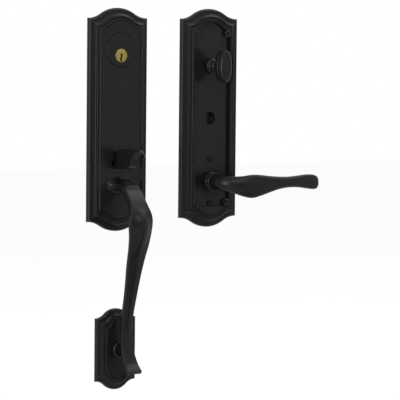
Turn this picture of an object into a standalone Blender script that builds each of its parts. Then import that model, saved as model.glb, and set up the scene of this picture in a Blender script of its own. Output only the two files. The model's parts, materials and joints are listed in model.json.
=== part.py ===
"""Entry door handleset: the outside and the inside trim, side by side on one door plane.

The outside half has a key cylinder, a thumb latch and a bow grip that ends on a small plate.
The inside half has an oval turn piece and a swan-neck lever.
Sizes are millimetres. X runs across the door, Z runs up it, and height is measured out of the
door face, so world Y is minus the height and what lies inside the door has a negative height.
"""
import math

import bmesh
import bpy
from mathutils import Vector

MM = 0.001

# Clearances
TOUCH = 0.3
RUNNING = 0.4
HOLE_PLAY = 0.4

# Escutcheons, outside and inside alike
PLATE_WIDTH = 76.2
PLATE_STRAIGHT = 219.2
PLATE_RISE = 11.0
PLATE_ARCH = 40.0
PANEL_HEIGHT = 9.9
PANEL_THICKNESS = 3.3
RIM_WIDTH = 7.0
INSIDE_X = 122.5
PAD_RADIUS = 7.0

# Small plate under the grip
LOWER_WIDTH = 51.5
LOWER_STRAIGHT = 68.7
LOWER_RISE = 9.9
LOWER_ARCH = 21.0
LOWER_Z = -249.0
LOWER_PANEL_HEIGHT = 8.7
LOWER_RIM_WIDTH = 6.2
LOWER_MOULDING_SCALE = 0.88

# Moulding round the plates
EDGE_WALL = 3.0
BEAD_RADIUS = 2.8
COVE_QUIRK = 0.4
COVE_RADIUS = 6.0
COVE_SWEEP = 46.0
FILLET_RISE = 2.45
FILLET_WIDTH = 1.0
GROOVE_RADIUS = 1.85
GROOVE_DEPTH = 1.8
END_INSET = 0.94
RISE_LOSS = 0.12

# Screws through the door and their posts
DOOR_THICKNESS = 35.0
SCREW_SIDE_MARGIN = 16.9
SCREW_END_MARGIN = 16.0
SCREW_RADIUS = 2.0
SCREW_HEAD_RADIUS = 3.9
SCREW_CROWN = 1.0
RECESS_REACH = 2.1
RECESS_WIDTH = 1.1
RECESS_DEPTH = 1.6
SCREW_LENGTH = 29.0
POST_RADIUS = 3.5
POST_REACH = 17.5
POST_BOSS_RADIUS = 6.0
POST_SHOULDER = 1.7
POST_STUB = 5.6

# Key cylinder
CYLINDER_Z = 75.4
CYLINDER_HEAD_RADIUS = 18.6
CYLINDER_HEAD_DEPTH = 4.0
CYLINDER_BODY_RADIUS = 14.6
CYLINDER_LENGTH = 32.0
CYLINDER_PROUD = 0.4
CYLINDER_BOSS_RADIUS = 22.5
PLUG_DROP = 6.1
PLUG_HEAD_RADIUS = 7.75
PLUG_HEAD_DEPTH = 1.9
PLUG_RADIUS = 6.4
PLUG_PROUD = 0.2
KEYWAY_WIDTH = 1.6
CAM_THICKNESS = 2.4
CAM_RADIUS = 8.5
CAM_REACH = 11.0
CAM_TIP_RADIUS = 4.0
CAM_SCREW_X = 3.9
CAM_SCREW_RADIUS = 1.1

# Thumb latch
THUMB_PIVOT_HEIGHT = -1.5
THUMB_PIVOT_Z = -45.0
THUMB_WEB = 9.4
THUMB_HUB_RADIUS = 5.0
THUMB_TAIL_REACH = 28.0
THUMB_TAIL_WIDTH = 6.0
SLOT_WIDTH = 14.4
SLOT_FLARE = 3.4
SLOT_TOP = -34.5
SLOT_BOTTOM = -58.0
FLARE_START = 9.0
FLARE_FOOT = 16.0
FLARE_END = 17.5
PIVOT_PIN_RADIUS = 2.0
BRACKET_GAUGE = 1.8
EAR_SPAN = 16.6
EAR_RADIUS = 6.0
EAR_TO_SCREW = 0.9
BRACKET_SCREW_Z = -48.0
BRACKET_SCREW_RADIUS = 1.4
BRACKET_SCREW_HEAD = 2.7
BRACKET_MARGIN = 3.3
THUMB_WIRE = 0.8
THUMB_COIL_RADIUS = 3.4

# Bow grip
NECK_Z = -70.3
GRIP_EDGE_FRONT = 0.7
GRIP_EDGE_BACK = 1.2
LEG_RADIUS = 5.0
LEG_TOP = 25.4
COLLAR_RADIUS = 9.5
BOLT_RADIUS = 2.5
BOLT_HEAD_RADIUS = 5.0
BOLT_HEAD_DEPTH = 3.2
BOLT_BOSS_RADIUS = 8.0
NECK_BOLT_DEPTH = 7.0
LEG_BOLT_DEPTH = 11.0
FOOT_BOLT_SINK = 14.0
WASHER_RADIUS = 6.5
WASHER_THICKNESS = 1.2

# Turn piece
TURN_Z = 57.8
TURN_HALF_WIDTH = 8.0
TURN_HALF_HEIGHT = 18.0
TURN_BACK = 22.6
TURN_DEPTH = 14.4
STEM_RADIUS = 4.5
STEM_END = 2.5
TURN_COLLAR_RADIUS = 8.8
TURN_BAR = 4.0
TURN_BAR_REACH = 32.0
TURN_BAR_DEPTH = 15.0
SPINDLE_PIN_RADIUS = 0.8
SPINDLE_PIN_HEIGHT = 8.2
CLIP_THICKNESS = 0.8
WAVE_WASHER_THICKNESS = 0.6

# Lever
LEVER_Z = -70.0
HUB_RADIUS = 8.0
NECK_RADIUS = 8.2
HUB_END = 4.1
HUB_GROOVE_RADIUS = 7.0
LEVER_COLLAR_RADIUS = 10.6
LEVER_COLLAR_TOP = 18.4
LEVER_BAR = 8.0
LEVER_BAR_REACH = 38.0
LEVER_BAR_DEPTH = 21.0
LEVER_CLIP_THICKNESS = 1.0
LEVER_CLIP_RADIUS = 10.5
SET_SCREW_RADIUS = 2.0
SET_SCREW_HEIGHT = 21.5

# Spring cassette behind the lever
CASE_RADIUS = 20.3
CASE_WALL = 1.7
CASE_GAUGE = 0.8
CASE_SCREW_OUT = 3.7
CASE_SCREW_RADIUS = 1.3
CASE_BOSS_RADIUS = 3.5
CASE_BOSS_RISE = 1.3
RETURN_WIRE = 1.8
RETURN_COIL_INSET = 4.3
LUG_HALF_WIDTH = 1.8
LUG_RISE = 3.1

ROUND = 20
SMALL_ROUND = 10
BIG_ROUND = 32

SCREW_X = PLATE_WIDTH / 2 - SCREW_SIDE_MARGIN
SCREW_Z = PLATE_STRAIGHT / 2 - SCREW_END_MARGIN
CORNERS = (
    ("upper_left", -SCREW_X, SCREW_Z), ("upper_right", SCREW_X, SCREW_Z),
    ("lower_left", -SCREW_X, -SCREW_Z), ("lower_right", SCREW_X, -SCREW_Z),
)
SIDES = (("left", -1), ("right", 1))
ENDS = (("upper", 1), ("lower", -1))

POCKET_FLOOR = PANEL_HEIGHT - PANEL_THICKNESS
CYLINDER_FACE = PANEL_HEIGHT + CYLINDER_PROUD
CYLINDER_END = CYLINDER_FACE - CYLINDER_LENGTH
CYLINDER_SEAT = CYLINDER_FACE - CYLINDER_HEAD_DEPTH
PLUG_Z = CYLINDER_Z - PLUG_DROP
BRACKET_FRONT = POCKET_FLOOR - TOUCH
BRACKET_BACK = BRACKET_FRONT - BRACKET_GAUGE
BRACKET_SCREW_X = EAR_SPAN / 2 + BRACKET_GAUGE + EAR_TO_SCREW + BRACKET_SCREW_HEAD
CASE_FRONT = POCKET_FLOOR - CASE_BOSS_RISE - TOUCH
CASE_FLOOR = CASE_FRONT - CASE_GAUGE
CASE_INSIDE = RETURN_WIRE + 3 * TOUCH
CASE_OPEN = CASE_FLOOR - CASE_INSIDE
SPRING_LAYER = CASE_FLOOR - CASE_INSIDE / 2
CASE_SCREW_REACH = CASE_RADIUS + CASE_SCREW_OUT
RETURN_COIL_RADIUS = CASE_RADIUS - RETURN_COIL_INSET
STOP_REACH = RETURN_COIL_RADIUS - RETURN_WIRE
LUG_REACH = STOP_REACH - 2 * TOUCH
CAM_PLATE_RADIUS = LUG_REACH - LUG_RISE


# Mesh helpers

def at(x, height, z):
    """A point in metres from millimetres across, out of the door and up."""
    return Vector((x, -height, z)) * MM


def circle(x, z, radius, count=ROUND):
    turns = [2 * math.pi * i / count for i in range(count)]
    return [(x + radius * math.cos(a), z + radius * math.sin(a)) for a in turns]


def oval(x, z, half_width, half_height, count=ROUND):
    turns = [2 * math.pi * i / count for i in range(count)]
    return [(x + half_width * math.cos(a), z + half_height * math.sin(a)) for a in turns]


def rectangle(x, z, half_width, half_height):
    corners = ((1, -1), (1, 1), (-1, 1), (-1, -1))
    return [(x + i * half_width, z + j * half_height) for i, j in corners]


def cross(x, z, reach, half):
    """A cross of four equal arms."""
    arm = [(half, half), (half, reach), (-half, reach)]
    points = []
    for turn in range(4):
        angle = turn * math.pi / 2
        for i, j in arm:
            points.append((
                x + i * math.cos(angle) - j * math.sin(angle),
                z + i * math.sin(angle) + j * math.cos(angle),
            ))
    return points


def arc(centre, radius, start, end, steps):
    """Points on an arc between two angles in degrees, both ends included."""
    points = []
    for i in range(steps + 1):
        angle = math.radians(start + (end - start) * i / steps)
        points.append((centre[0] + radius * math.cos(angle), centre[1] + radius * math.sin(angle)))
    return points


def ring(bm, outline, height):
    return [bm.verts.new(at(x, height, z)) for x, z in outline]


def bridge(bm, first, second):
    for i in range(len(first)):
        j = (i + 1) % len(first)
        bm.faces.new((first[i], first[j], second[j], second[i]))


def fill(bm, outer, holes=()):
    """A flat face between an outer ring of vertices and any rings inside it."""
    edges = []
    for loop in (outer, *holes):
        for i, vert in enumerate(loop):
            following = loop[(i + 1) % len(loop)]
            edge = bm.edges.get((vert, following)) or bm.edges.new((vert, following))
            edges.append(edge)
    bmesh.ops.triangle_fill(bm, use_beauty=True, edges=edges)


def chain(bm, steps):
    """Walls through a list of (outline, height), giving the first and the last ring."""
    rings = [ring(bm, outline, height) for outline, height in steps]
    for first, second in zip(rings, rings[1:]):
        bridge(bm, first, second)
    return rings[0], rings[-1]


def prism(bm, outline, top, bottom, holes=()):
    """A flat piece of one outline between two heights, with holes of one outline each."""
    outer = chain(bm, [(outline, top), (outline, bottom)])
    inner = [chain(bm, [(hole, top), (hole, bottom)]) for hole in holes]
    fill(bm, outer[0], [pair[0] for pair in inner])
    fill(bm, outer[1], [pair[1] for pair in inner])


def turned(bm, profile, centre, axis="out", count=ROUND, hollow=False):
    """A turned piece from (radius, distance) pairs along an axis through the centre."""
    directions = {
        "out": (Vector((0, -1, 0)), Vector((1, 0, 0)), Vector((0, 0, 1))),
        "across": (Vector((1, 0, 0)), Vector((0, 1, 0)), Vector((0, 0, 1))),
        "up": (Vector((0, 0, 1)), Vector((1, 0, 0)), Vector((0, 1, 0))),
    }
    along, side, other = directions[axis]
    rings = []
    for radius, distance in profile:
        loop = []
        for i in range(count):
            angle = 2 * math.pi * i / count
            offset = side * math.cos(angle) + other * math.sin(angle)
            loop.append(bm.verts.new(centre + (along * distance + offset * radius) * MM))
        rings.append(loop)
    for first, second in zip(rings, rings[1:]):
        bridge(bm, first, second)
    if hollow:
        bridge(bm, rings[-1], rings[0])
    else:
        bm.faces.new(rings[0])
        bm.faces.new(rings[-1])


def extruded_across(bm, outline, half_width, x=0.0):
    """A piece of one side outline of (height, z) points, from one side of x to the other."""
    left = [bm.verts.new(at(x - half_width, h, z)) for h, z in outline]
    right = [bm.verts.new(at(x + half_width, h, z)) for h, z in outline]
    bridge(bm, left, right)
    bm.faces.new(left)
    bm.faces.new(right)


def smooth_path(stations, steps):
    """Values between key stations, on a curve through them that has no corners."""
    rows = [stations[0], *stations, stations[-1]]
    result = []
    for k in range(1, len(rows) - 2):
        before, start, end, after = rows[k - 1:k + 3]
        for i in range(steps):
            t = i / steps
            row = []
            for a, b, c, d in zip(before, start, end, after):
                bend = (2 * a - 5 * b + 4 * c - d) * t * t + (3 * b - a - 3 * c + d) * t ** 3
                row.append(0.5 * (2 * b + (c - a) * t + bend))
            result.append(row)
    result.append(list(stations[-1]))
    return result


# Object helpers

def clear_scene():
    for item in list(bpy.data.objects):
        bpy.data.objects.remove(item, do_unlink=True)


def material(name, colour, roughness, metallic=1.0):
    result = bpy.data.materials.new(name)
    result.use_nodes = True
    shader = result.node_tree.nodes["Principled BSDF"]
    shader.inputs["Base Color"].default_value = (*colour, 1.0)
    shader.inputs["Roughness"].default_value = roughness
    shader.inputs["Metallic"].default_value = metallic
    return result


def axis(name, x, height, z):
    """An empty on a joint's axis, which carries the pieces that turn about it."""
    empty = bpy.data.objects.new(name, None)
    empty.location = at(x, height, z)
    bpy.context.collection.objects.link(empty)
    return empty


def place(name, data, finish, parent=None):
    item = bpy.data.objects.new(name, data)
    if finish:
        data.materials.append(finish)
    bpy.context.collection.objects.link(item)
    if parent:
        item.parent = parent
    return item


def piece(name, bm, finish, parent=None, sharp=35.0):
    """An object from a finished bmesh, its faces out and its round faces smooth."""
    bmesh.ops.recalc_face_normals(bm, faces=bm.faces)
    if parent:
        bmesh.ops.translate(bm, verts=bm.verts, vec=-parent.location)
    mesh = bpy.data.meshes.new(name)
    bm.to_mesh(mesh)
    bm.free()
    mesh.shade_smooth()
    mesh.set_sharp_from_angle(angle=math.radians(sharp))
    return place(name, mesh, finish, parent)


def combine(target, tool, operation):
    """Joins the tool's shape to the target, or cuts it away, and leaves the tool as a guide."""
    modifier = target.modifiers.new(tool.name, "BOOLEAN")
    modifier.operation = operation
    modifier.object = tool
    tool.hide_render = True
    tool.display_type = "WIRE"


def cut(target, tool):
    combine(target, tool, "DIFFERENCE")


def join(target, tool):
    combine(target, tool, "UNION")


def wire(name, points, diameter, finish, parent=None, resolution=1):
    """A bent wire through points in metres."""
    curve = bpy.data.curves.new(name, "CURVE")
    curve.dimensions = "3D"
    curve.bevel_depth = diameter * MM / 2
    curve.bevel_resolution = resolution
    curve.use_fill_caps = True
    shift = parent.location if parent else Vector((0, 0, 0))
    spline = curve.splines.new("POLY")
    spline.points.add(len(points) - 1)
    for target, point in zip(spline.points, points):
        target.co = (*(point - shift), 1.0)
    return place(name, curve, finish, parent)


# Plates

def ogee(width, straight, rise, arch_radius, centre, inset=0.0, hollow_steps=3, arch_steps=6):
    """The outline of a plate with an arched top and foot that sweep out to its corners.

    Each end is an arch between two hollows that meet it in line. An inset line is the same
    ogee drawn narrower, so it starts level at the corner and keeps most of the rise.
    """
    outer_half = width / 2
    share = arch_radius * math.sin(2 * math.atan(rise / outer_half)) / outer_half
    half = outer_half - inset
    corner_z = straight / 2 - END_INSET * inset
    inner_rise = rise - RISE_LOSS * inset
    sweep = 2 * math.atan(inner_rise / half)
    convex = share * half / math.sin(sweep)
    concave = half / math.sin(sweep) - convex
    arch_z = corner_z + inner_rise - convex
    right = []
    for i in range(hollow_steps + 1):
        angle = sweep * i / hollow_steps
        x = half - concave * math.sin(angle)
        right.append((x, corner_z + concave * (1 - math.cos(angle))))
    for i in range(1, arch_steps // 2):
        angle = sweep * (1 - 2 * i / arch_steps)
        right.append((convex * math.sin(angle), arch_z + convex * math.cos(angle)))
    crown = (0.0, arch_z + convex)
    top = right + [crown] + [(-x, z) for x, z in reversed(right)]
    foot = [(-x, -z) for x, z in top]
    return [(centre[0] + x, centre[1] + z) for x, z in top + foot]


def moulding(scale, panel_height):
    """The edge's section from the back out to the panel, as (inset, height) pairs."""
    bead = arc((BEAD_RADIUS, EDGE_WALL), BEAD_RADIUS, 180, 90, 2)
    cove_start = (BEAD_RADIUS + 0.5, EDGE_WALL + BEAD_RADIUS - COVE_QUIRK)
    cove = arc((cove_start[0], cove_start[1] + COVE_RADIUS), COVE_RADIUS, -90, COVE_SWEEP - 90, 3)
    step, shelf = cove[-1]
    crest = shelf + FILLET_RISE
    fillet = [(step + 0.1, crest - 0.4), (step + 0.4, crest), (step + 0.4 + FILLET_WIDTH, crest)]
    groove_centre = fillet[-1][0] + GROOVE_RADIUS
    groove_lip = GROOVE_RADIUS * math.cos(math.radians(20))
    groove_top = crest + GROOVE_RADIUS - GROOVE_DEPTH
    groove = arc((groove_centre, groove_top), GROOVE_RADIUS, 200, 340, 2)
    section = [(0.0, 0.0)] + bead + cove + fillet + groove
    scaled = [(inset * scale, height * scale) for inset, height in section]
    panel_inset = (groove_centre + groove_lip + 0.3) * scale
    return scaled + [(panel_inset, panel_height)]


class Plate:
    """A moulded plate with a hollow back, and the holes and bosses that are let into it."""

    def __init__(self, shape, centre, section, rim, panel_height):
        self.bm = bmesh.new()
        self.centre = centre
        self.panel_height = panel_height
        self.floor = panel_height - PANEL_THICKNESS
        outer = [(ogee(*shape, centre, inset), height) for inset, height in section]
        hollow = ogee(*shape, centre, rim)
        self.front, self.back = [], []
        back_edge, self.panel = chain(self.bm, outer)
        pocket_edge, self.pocket = chain(self.bm, [(hollow, 0.0), (hollow, self.floor)])
        bridge(self.bm, back_edge, pocket_edge)

    def through(self, outline, boss=None, boss_height=0.0):
        """A straight hole, with a boss round it in the hollow if one is given."""
        steps = [(outline, self.panel_height)]
        if boss:
            steps += [(outline, boss_height), (boss, boss_height), (boss, self.floor)]
        else:
            steps += [(outline, self.floor)]
        self.stepped(steps)

    def stepped(self, steps):
        """A hole through a list of (outline, height), from the panel to the hollow."""
        first, last = chain(self.bm, steps)
        self.front.append(first)
        self.back.append(last)

    def blind(self, steps):
        """A boss or a blind hole that starts on the hollow's floor and is closed at its end."""
        first, last = chain(self.bm, steps)
        self.bm.faces.new(last)
        self.back.append(first)

    def pad(self):
        """A round pad that rests on the door behind the middle of the plate."""
        outline = circle(*self.centre, PAD_RADIUS)
        self.blind([(outline, self.floor), (outline, 0.0)])

    def build(self, name, finish):
        fill(self.bm, self.panel, self.front)
        fill(self.bm, self.pocket, self.back)
        return piece(name, self.bm, finish, sharp=28.0)


def slot_outline():
    """The thumb latch's slot, flared near its foot where the hub is passed in."""
    half = SLOT_WIDTH / 2
    flare = half + SLOT_FLARE
    right = [
        (half, SLOT_TOP), (half, SLOT_TOP - FLARE_START), (flare, SLOT_TOP - FLARE_FOOT),
        (flare, SLOT_TOP - FLARE_END), (half, SLOT_TOP - FLARE_END), (half, SLOT_BOTTOM),
    ]
    return right + [(-x, z) for x, z in reversed(right)]


def exterior_plate(finish):
    shape = (PLATE_WIDTH, PLATE_STRAIGHT, PLATE_RISE, PLATE_ARCH)
    plate = Plate(shape, (0.0, 0.0), moulding(1.0, PANEL_HEIGHT), RIM_WIDTH, PANEL_HEIGHT)
    floor = plate.floor
    head = circle(0, CYLINDER_Z, CYLINDER_HEAD_RADIUS + TOUCH, BIG_ROUND)
    body = circle(0, CYLINDER_Z, CYLINDER_BODY_RADIUS + HOLE_PLAY, BIG_ROUND)
    boss = circle(0, CYLINDER_Z, CYLINDER_BOSS_RADIUS, BIG_ROUND)
    seat = CYLINDER_SEAT - TOUCH
    plate.stepped([
        (head, PANEL_HEIGHT), (head, seat), (body, seat),
        (body, seat - 4.0), (boss, seat - 4.0), (boss, floor),
    ])
    plate.through(slot_outline())
    bolt = circle(0, NECK_Z, BOLT_RADIUS + HOLE_PLAY, SMALL_ROUND)
    plate.through(bolt, circle(0, NECK_Z, BOLT_BOSS_RADIUS, SMALL_ROUND), 1.5)
    top = POST_SHOULDER + TOUCH
    for _, x, z in CORNERS:
        outer = circle(x, z, POST_BOSS_RADIUS, SMALL_ROUND)
        inner = circle(x, z, POST_RADIUS / 2 + TOUCH, SMALL_ROUND)
        plate.blind([(outer, floor), (outer, top), (inner, top), (inner, top + POST_STUB)])
    for x in (-BRACKET_SCREW_X, BRACKET_SCREW_X):
        hole = circle(x, BRACKET_SCREW_Z, BRACKET_SCREW_RADIUS + TOUCH, SMALL_ROUND)
        plate.blind([(hole, floor), (hole, floor + 1.8)])
    plate.pad()
    return plate.build("exterior_plate", finish)


def interior_plate(finish):
    shape = (PLATE_WIDTH, PLATE_STRAIGHT, PLATE_RISE, PLATE_ARCH)
    plate = Plate(shape, (INSIDE_X, 0.0), moulding(1.0, PANEL_HEIGHT), RIM_WIDTH, PANEL_HEIGHT)
    floor = plate.floor
    plate.through(circle(INSIDE_X, TURN_Z, STEM_RADIUS + RUNNING))
    plate.through(circle(INSIDE_X, LEVER_Z, HUB_RADIUS + RUNNING))
    sink = PANEL_HEIGHT - SCREW_HEAD_RADIUS + SCREW_RADIUS
    for _, x, z in CORNERS:
        wide = circle(INSIDE_X + x, z, SCREW_HEAD_RADIUS + TOUCH, SMALL_ROUND)
        narrow = circle(INSIDE_X + x, z, SCREW_RADIUS + HOLE_PLAY, SMALL_ROUND)
        plate.stepped([(wide, PANEL_HEIGHT), (narrow, sink), (narrow, floor)])
    for _, sign in ENDS:
        z = LEVER_Z + sign * CASE_SCREW_REACH
        outer = circle(INSIDE_X, z, CASE_BOSS_RADIUS, SMALL_ROUND)
        inner = circle(INSIDE_X, z, CASE_SCREW_RADIUS + TOUCH, SMALL_ROUND)
        top = floor - CASE_BOSS_RISE
        plate.blind([(outer, floor), (outer, top), (inner, top), (inner, floor + 1.7)])
    plate.pad()
    return plate.build("interior_plate", finish)


def lower_plate(finish):
    shape = (LOWER_WIDTH, LOWER_STRAIGHT, LOWER_RISE, LOWER_ARCH)
    section = moulding(LOWER_MOULDING_SCALE, LOWER_PANEL_HEIGHT)
    plate = Plate(shape, (0.0, LOWER_Z), section, LOWER_RIM_WIDTH, LOWER_PANEL_HEIGHT)
    bolt = circle(0, LOWER_Z, BOLT_RADIUS + HOLE_PLAY, SMALL_ROUND)
    plate.through(bolt, circle(0, LOWER_Z, BOLT_BOSS_RADIUS, SMALL_ROUND), 1.5)
    return plate.build("lower_plate", finish)


# Fixings

def mounting_post(name, x, z, finish):
    """A tapped post whose stub is set in the outside plate's boss."""
    bm = bmesh.new()
    profile = [
        (POST_RADIUS / 2, POST_SHOULDER + POST_STUB), (POST_RADIUS / 2, POST_SHOULDER),
        (POST_RADIUS, POST_SHOULDER), (POST_RADIUS, -POST_REACH),
        (SCREW_RADIUS + TOUCH, -POST_REACH), (SCREW_RADIUS + TOUCH, 0.0),
    ]
    turned(bm, profile, at(x, 0, z), count=SMALL_ROUND)
    return piece(name, bm, finish)


def plate_screw(name, x, z, finish):
    """An oval-head screw with a cross recess."""
    bm = bmesh.new()
    neck = PANEL_HEIGHT - SCREW_HEAD_RADIUS + SCREW_RADIUS
    crown = PANEL_HEIGHT + SCREW_CROWN
    profile = [
        (RECESS_REACH + 0.2, crown), (SCREW_HEAD_RADIUS, PANEL_HEIGHT),
        (SCREW_RADIUS, neck), (SCREW_RADIUS, PANEL_HEIGHT - SCREW_LENGTH),
    ]
    turned(bm, profile, at(x, 0, z), count=SMALL_ROUND)
    screw = piece(name, bm, finish)
    recess = bmesh.new()
    prism(recess, cross(x, z, RECESS_REACH, RECESS_WIDTH / 2), crown + 1.0, crown - RECESS_DEPTH)
    cut(screw, piece(name + "_recess", recess, None))
    return screw


def through_bolt(name, z, tip, rest, finish):
    """A bolt into the grip, its washer resting at the given height inside the door."""
    bm = bmesh.new()
    seat = rest - WASHER_THICKNESS - TOUCH
    profile = [
        (BOLT_RADIUS, tip), (BOLT_RADIUS, seat), (BOLT_HEAD_RADIUS, seat),
        (BOLT_HEAD_RADIUS, seat - BOLT_HEAD_DEPTH + 0.8),
        (BOLT_HEAD_RADIUS - 1.2, seat - BOLT_HEAD_DEPTH),
    ]
    turned(bm, profile, at(0, 0, z), count=SMALL_ROUND)
    return piece(name, bm, finish)


def bolt_washer(name, z, rest, finish):
    bm = bmesh.new()
    hole = BOLT_RADIUS + HOLE_PLAY
    outer = rest - WASHER_THICKNESS
    profile = [(hole, rest), (WASHER_RADIUS, rest), (WASHER_RADIUS - 0.8, outer), (hole, outer)]
    turned(bm, profile, at(0, 0, z), hollow=True)
    return piece(name, bm, finish)


# Key cylinder

def cylinder_shell(finish):
    """The threaded cylinder, its head let in flush and its plug bore below centre."""
    bm = bmesh.new()
    body = []
    for i, (x, z) in enumerate(circle(0, 0, CYLINDER_BODY_RADIUS, BIG_ROUND)):
        depth = 0.9 if i % (BIG_ROUND // 2) == 0 else 1.0
        body.append((x * depth, CYLINDER_Z + z * depth))
    head = circle(0, CYLINDER_Z, CYLINDER_HEAD_RADIUS, BIG_ROUND)
    face = circle(0, CYLINDER_Z, CYLINDER_HEAD_RADIUS - 0.4, BIG_ROUND)
    outside = chain(bm, [
        (face, CYLINDER_FACE), (head, CYLINDER_FACE - 0.4), (head, CYLINDER_SEAT),
        (body, CYLINDER_SEAT), (body, CYLINDER_END),
    ])
    wide = circle(0, PLUG_Z, PLUG_HEAD_RADIUS + TOUCH)
    narrow = circle(0, PLUG_Z, PLUG_RADIUS + TOUCH)
    step = CYLINDER_FACE - PLUG_HEAD_DEPTH
    inside = chain(bm, [
        (wide, CYLINDER_FACE), (wide, step), (narrow, step), (narrow, CYLINDER_END),
    ])
    fill(bm, outside[0], [inside[0]])
    fill(bm, outside[1], [inside[1]])
    return piece("cylinder_shell", bm, finish)


def keyway_outline():
    """The warded slot, from a little above the plug's centre down to its edge."""
    middle = [(-0.4, 2.3), (0.7, -0.2), (-0.8, -2.8), (0.1, -6.9)]
    half = KEYWAY_WIDTH / 2
    left = [(x - half, PLUG_Z + z) for x, z in middle]
    right = [(x + half, PLUG_Z + z) for x, z in middle]
    return left + right[::-1]


def key_plug(finish, parent):
    bm = bmesh.new()
    face = CYLINDER_FACE + PLUG_PROUD
    shoulder = CYLINDER_FACE - PLUG_HEAD_DEPTH + TOUCH
    profile = [
        (PLUG_HEAD_RADIUS - 0.5, face), (PLUG_HEAD_RADIUS, face - 0.4),
        (PLUG_HEAD_RADIUS, shoulder), (PLUG_RADIUS, shoulder), (PLUG_RADIUS, CYLINDER_END),
    ]
    turned(bm, profile, at(0, 0, PLUG_Z))
    plug = piece("key_plug", bm, finish, parent)
    keyway = bmesh.new()
    prism(keyway, keyway_outline(), face + 1.0, CYLINDER_END + 8.0)
    cut(plug, piece("keyway", keyway, None, parent))
    radius = CAM_SCREW_RADIUS + TOUCH
    profile = [(radius, CYLINDER_END + 6.0), (radius, CYLINDER_END - 1.0)]
    for side, sign in SIDES:
        hole = bmesh.new()
        turned(hole, profile, at(sign * CAM_SCREW_X, 0, PLUG_Z), count=12)
        cut(plug, piece(side + "_cam_screw_hole", hole, None, parent))
    return plug


def cylinder_cam(finish, parent):
    """A cam with one lobe, no longer than the cylinder's own radius lets through."""
    bm = bmesh.new()
    lean = math.degrees(math.asin((CAM_RADIUS - CAM_TIP_RADIUS) / CAM_REACH))
    outline = arc((0, PLUG_Z + CAM_REACH), CAM_TIP_RADIUS, lean, 180 - lean, 6)
    outline += arc((0, PLUG_Z), CAM_RADIUS, 180 - lean, 360 + lean, 12)
    holes = [
        circle(x, PLUG_Z, CAM_SCREW_RADIUS + TOUCH, 12) for x in (-CAM_SCREW_X, CAM_SCREW_X)
    ]
    top = CYLINDER_END - TOUCH
    prism(bm, outline, top, top - CAM_THICKNESS, holes)
    return piece("cylinder_cam", bm, finish, parent)


def cam_screw(name, x, finish, parent):
    bm = bmesh.new()
    seat = CYLINDER_END - CAM_THICKNESS - 2 * TOUCH
    profile = [
        (CAM_SCREW_RADIUS, CYLINDER_END + 5.0), (CAM_SCREW_RADIUS, seat),
        (2.1, seat), (2.1, seat - 0.8), (1.4, seat - 1.2),
    ]
    turned(bm, profile, at(x, 0, PLUG_Z), count=12)
    return piece(name, bm, finish, parent)


# Thumb latch

def thumb_pad(bm):
    """The crowned pad: each section arches across, and the tip rolls over."""
    stations = [
        # height, crown, half width, drop at the edge, thickness
        (11.5, -34.6, 4.6, 0.6, 2.2),
        (16.0, -34.2, 5.0, 0.9, 2.2),
        (22.0, -34.1, 5.8, 1.5, 2.3),
        (30.0, -34.4, 6.7, 2.4, 2.4),
        (38.0, -34.3, 7.4, 3.0, 2.6),
        (44.0, -34.0, 7.4, 3.3, 3.2),
        (47.5, -34.3, 6.4, 3.2, 4.0),
        (49.5, -35.3, 4.6, 2.4, 3.4),
        (50.3, -36.3, 2.4, 1.0, 1.8),
    ]
    rings = []
    for height, crown, half, drop, thickness in smooth_path(stations, 2):
        loop = []
        for i in range(-3, 4):
            share = i / 3
            loop.append(at(half * share, height, crown - drop * share * share))
        for i in range(3, -4, -1):
            share = i / 3
            edge = 0.35 * thickness if abs(i) == 3 else 0.0
            under = crown - drop * share * share - thickness + edge
            loop.append(at((half - 0.2 * thickness) * share, height, under))
        rings.append([bm.verts.new(point) for point in loop])
    for first, second in zip(rings, rings[1:]):
        bridge(bm, first, second)
    bm.faces.new(rings[0])
    bm.faces.new(rings[-1])


def thumb_lever(finish, parent):
    """Pad, deep web through the slot, hub and tail, cast as one."""
    pivot_h, pivot_z = THUMB_PIVOT_HEIGHT, THUMB_PIVOT_Z
    web = [
        (38.5, -36.8), (12.0, -35.6), (-3.0, -36.4), (-6.2, -39.6), (-6.8, -43.0), (-6.8, -48.5),
        (-3.5, -52.5), (3.0, -54.5), (9.9, -54.7), (30.0, -53.4), (35.0, -51.6), (38.0, -47.4),
        (39.2, -41.5),
    ]
    bm = bmesh.new()
    extruded_across(bm, web, THUMB_WEB / 2)
    lever = piece("thumb_lever", bm, finish, parent)

    pad = bmesh.new()
    thumb_pad(pad)
    join(lever, piece("thumb_pad_shape", pad, None, parent))

    tail = bmesh.new()
    reach = -THUMB_TAIL_REACH
    outline = [
        (-2.0, pivot_z + 2.6), (reach + 2.0, pivot_z + 2.6), (reach, pivot_z + 1.0),
        (reach, pivot_z - 1.0), (reach + 2.0, pivot_z - 2.4), (-2.0, pivot_z - 2.4),
    ]
    extruded_across(tail, outline, THUMB_TAIL_WIDTH / 2)
    join(lever, piece("thumb_tail_shape", tail, None, parent))

    hub = bmesh.new()
    ear = EAR_SPAN / 2
    centre = at(0, pivot_h, pivot_z)
    turned(hub, [(THUMB_HUB_RADIUS, TOUCH - ear), (THUMB_HUB_RADIUS, 0.0)], centre, "across")
    join(lever, piece("thumb_hub_shape", hub, None, parent))

    bore = bmesh.new()
    radius = PIVOT_PIN_RADIUS + TOUCH
    turned(bore, [(radius, -2 * ear), (radius, 2 * ear)], centre, "across", SMALL_ROUND)
    cut(lever, piece("thumb_bore", bore, None, parent))
    return lever


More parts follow.
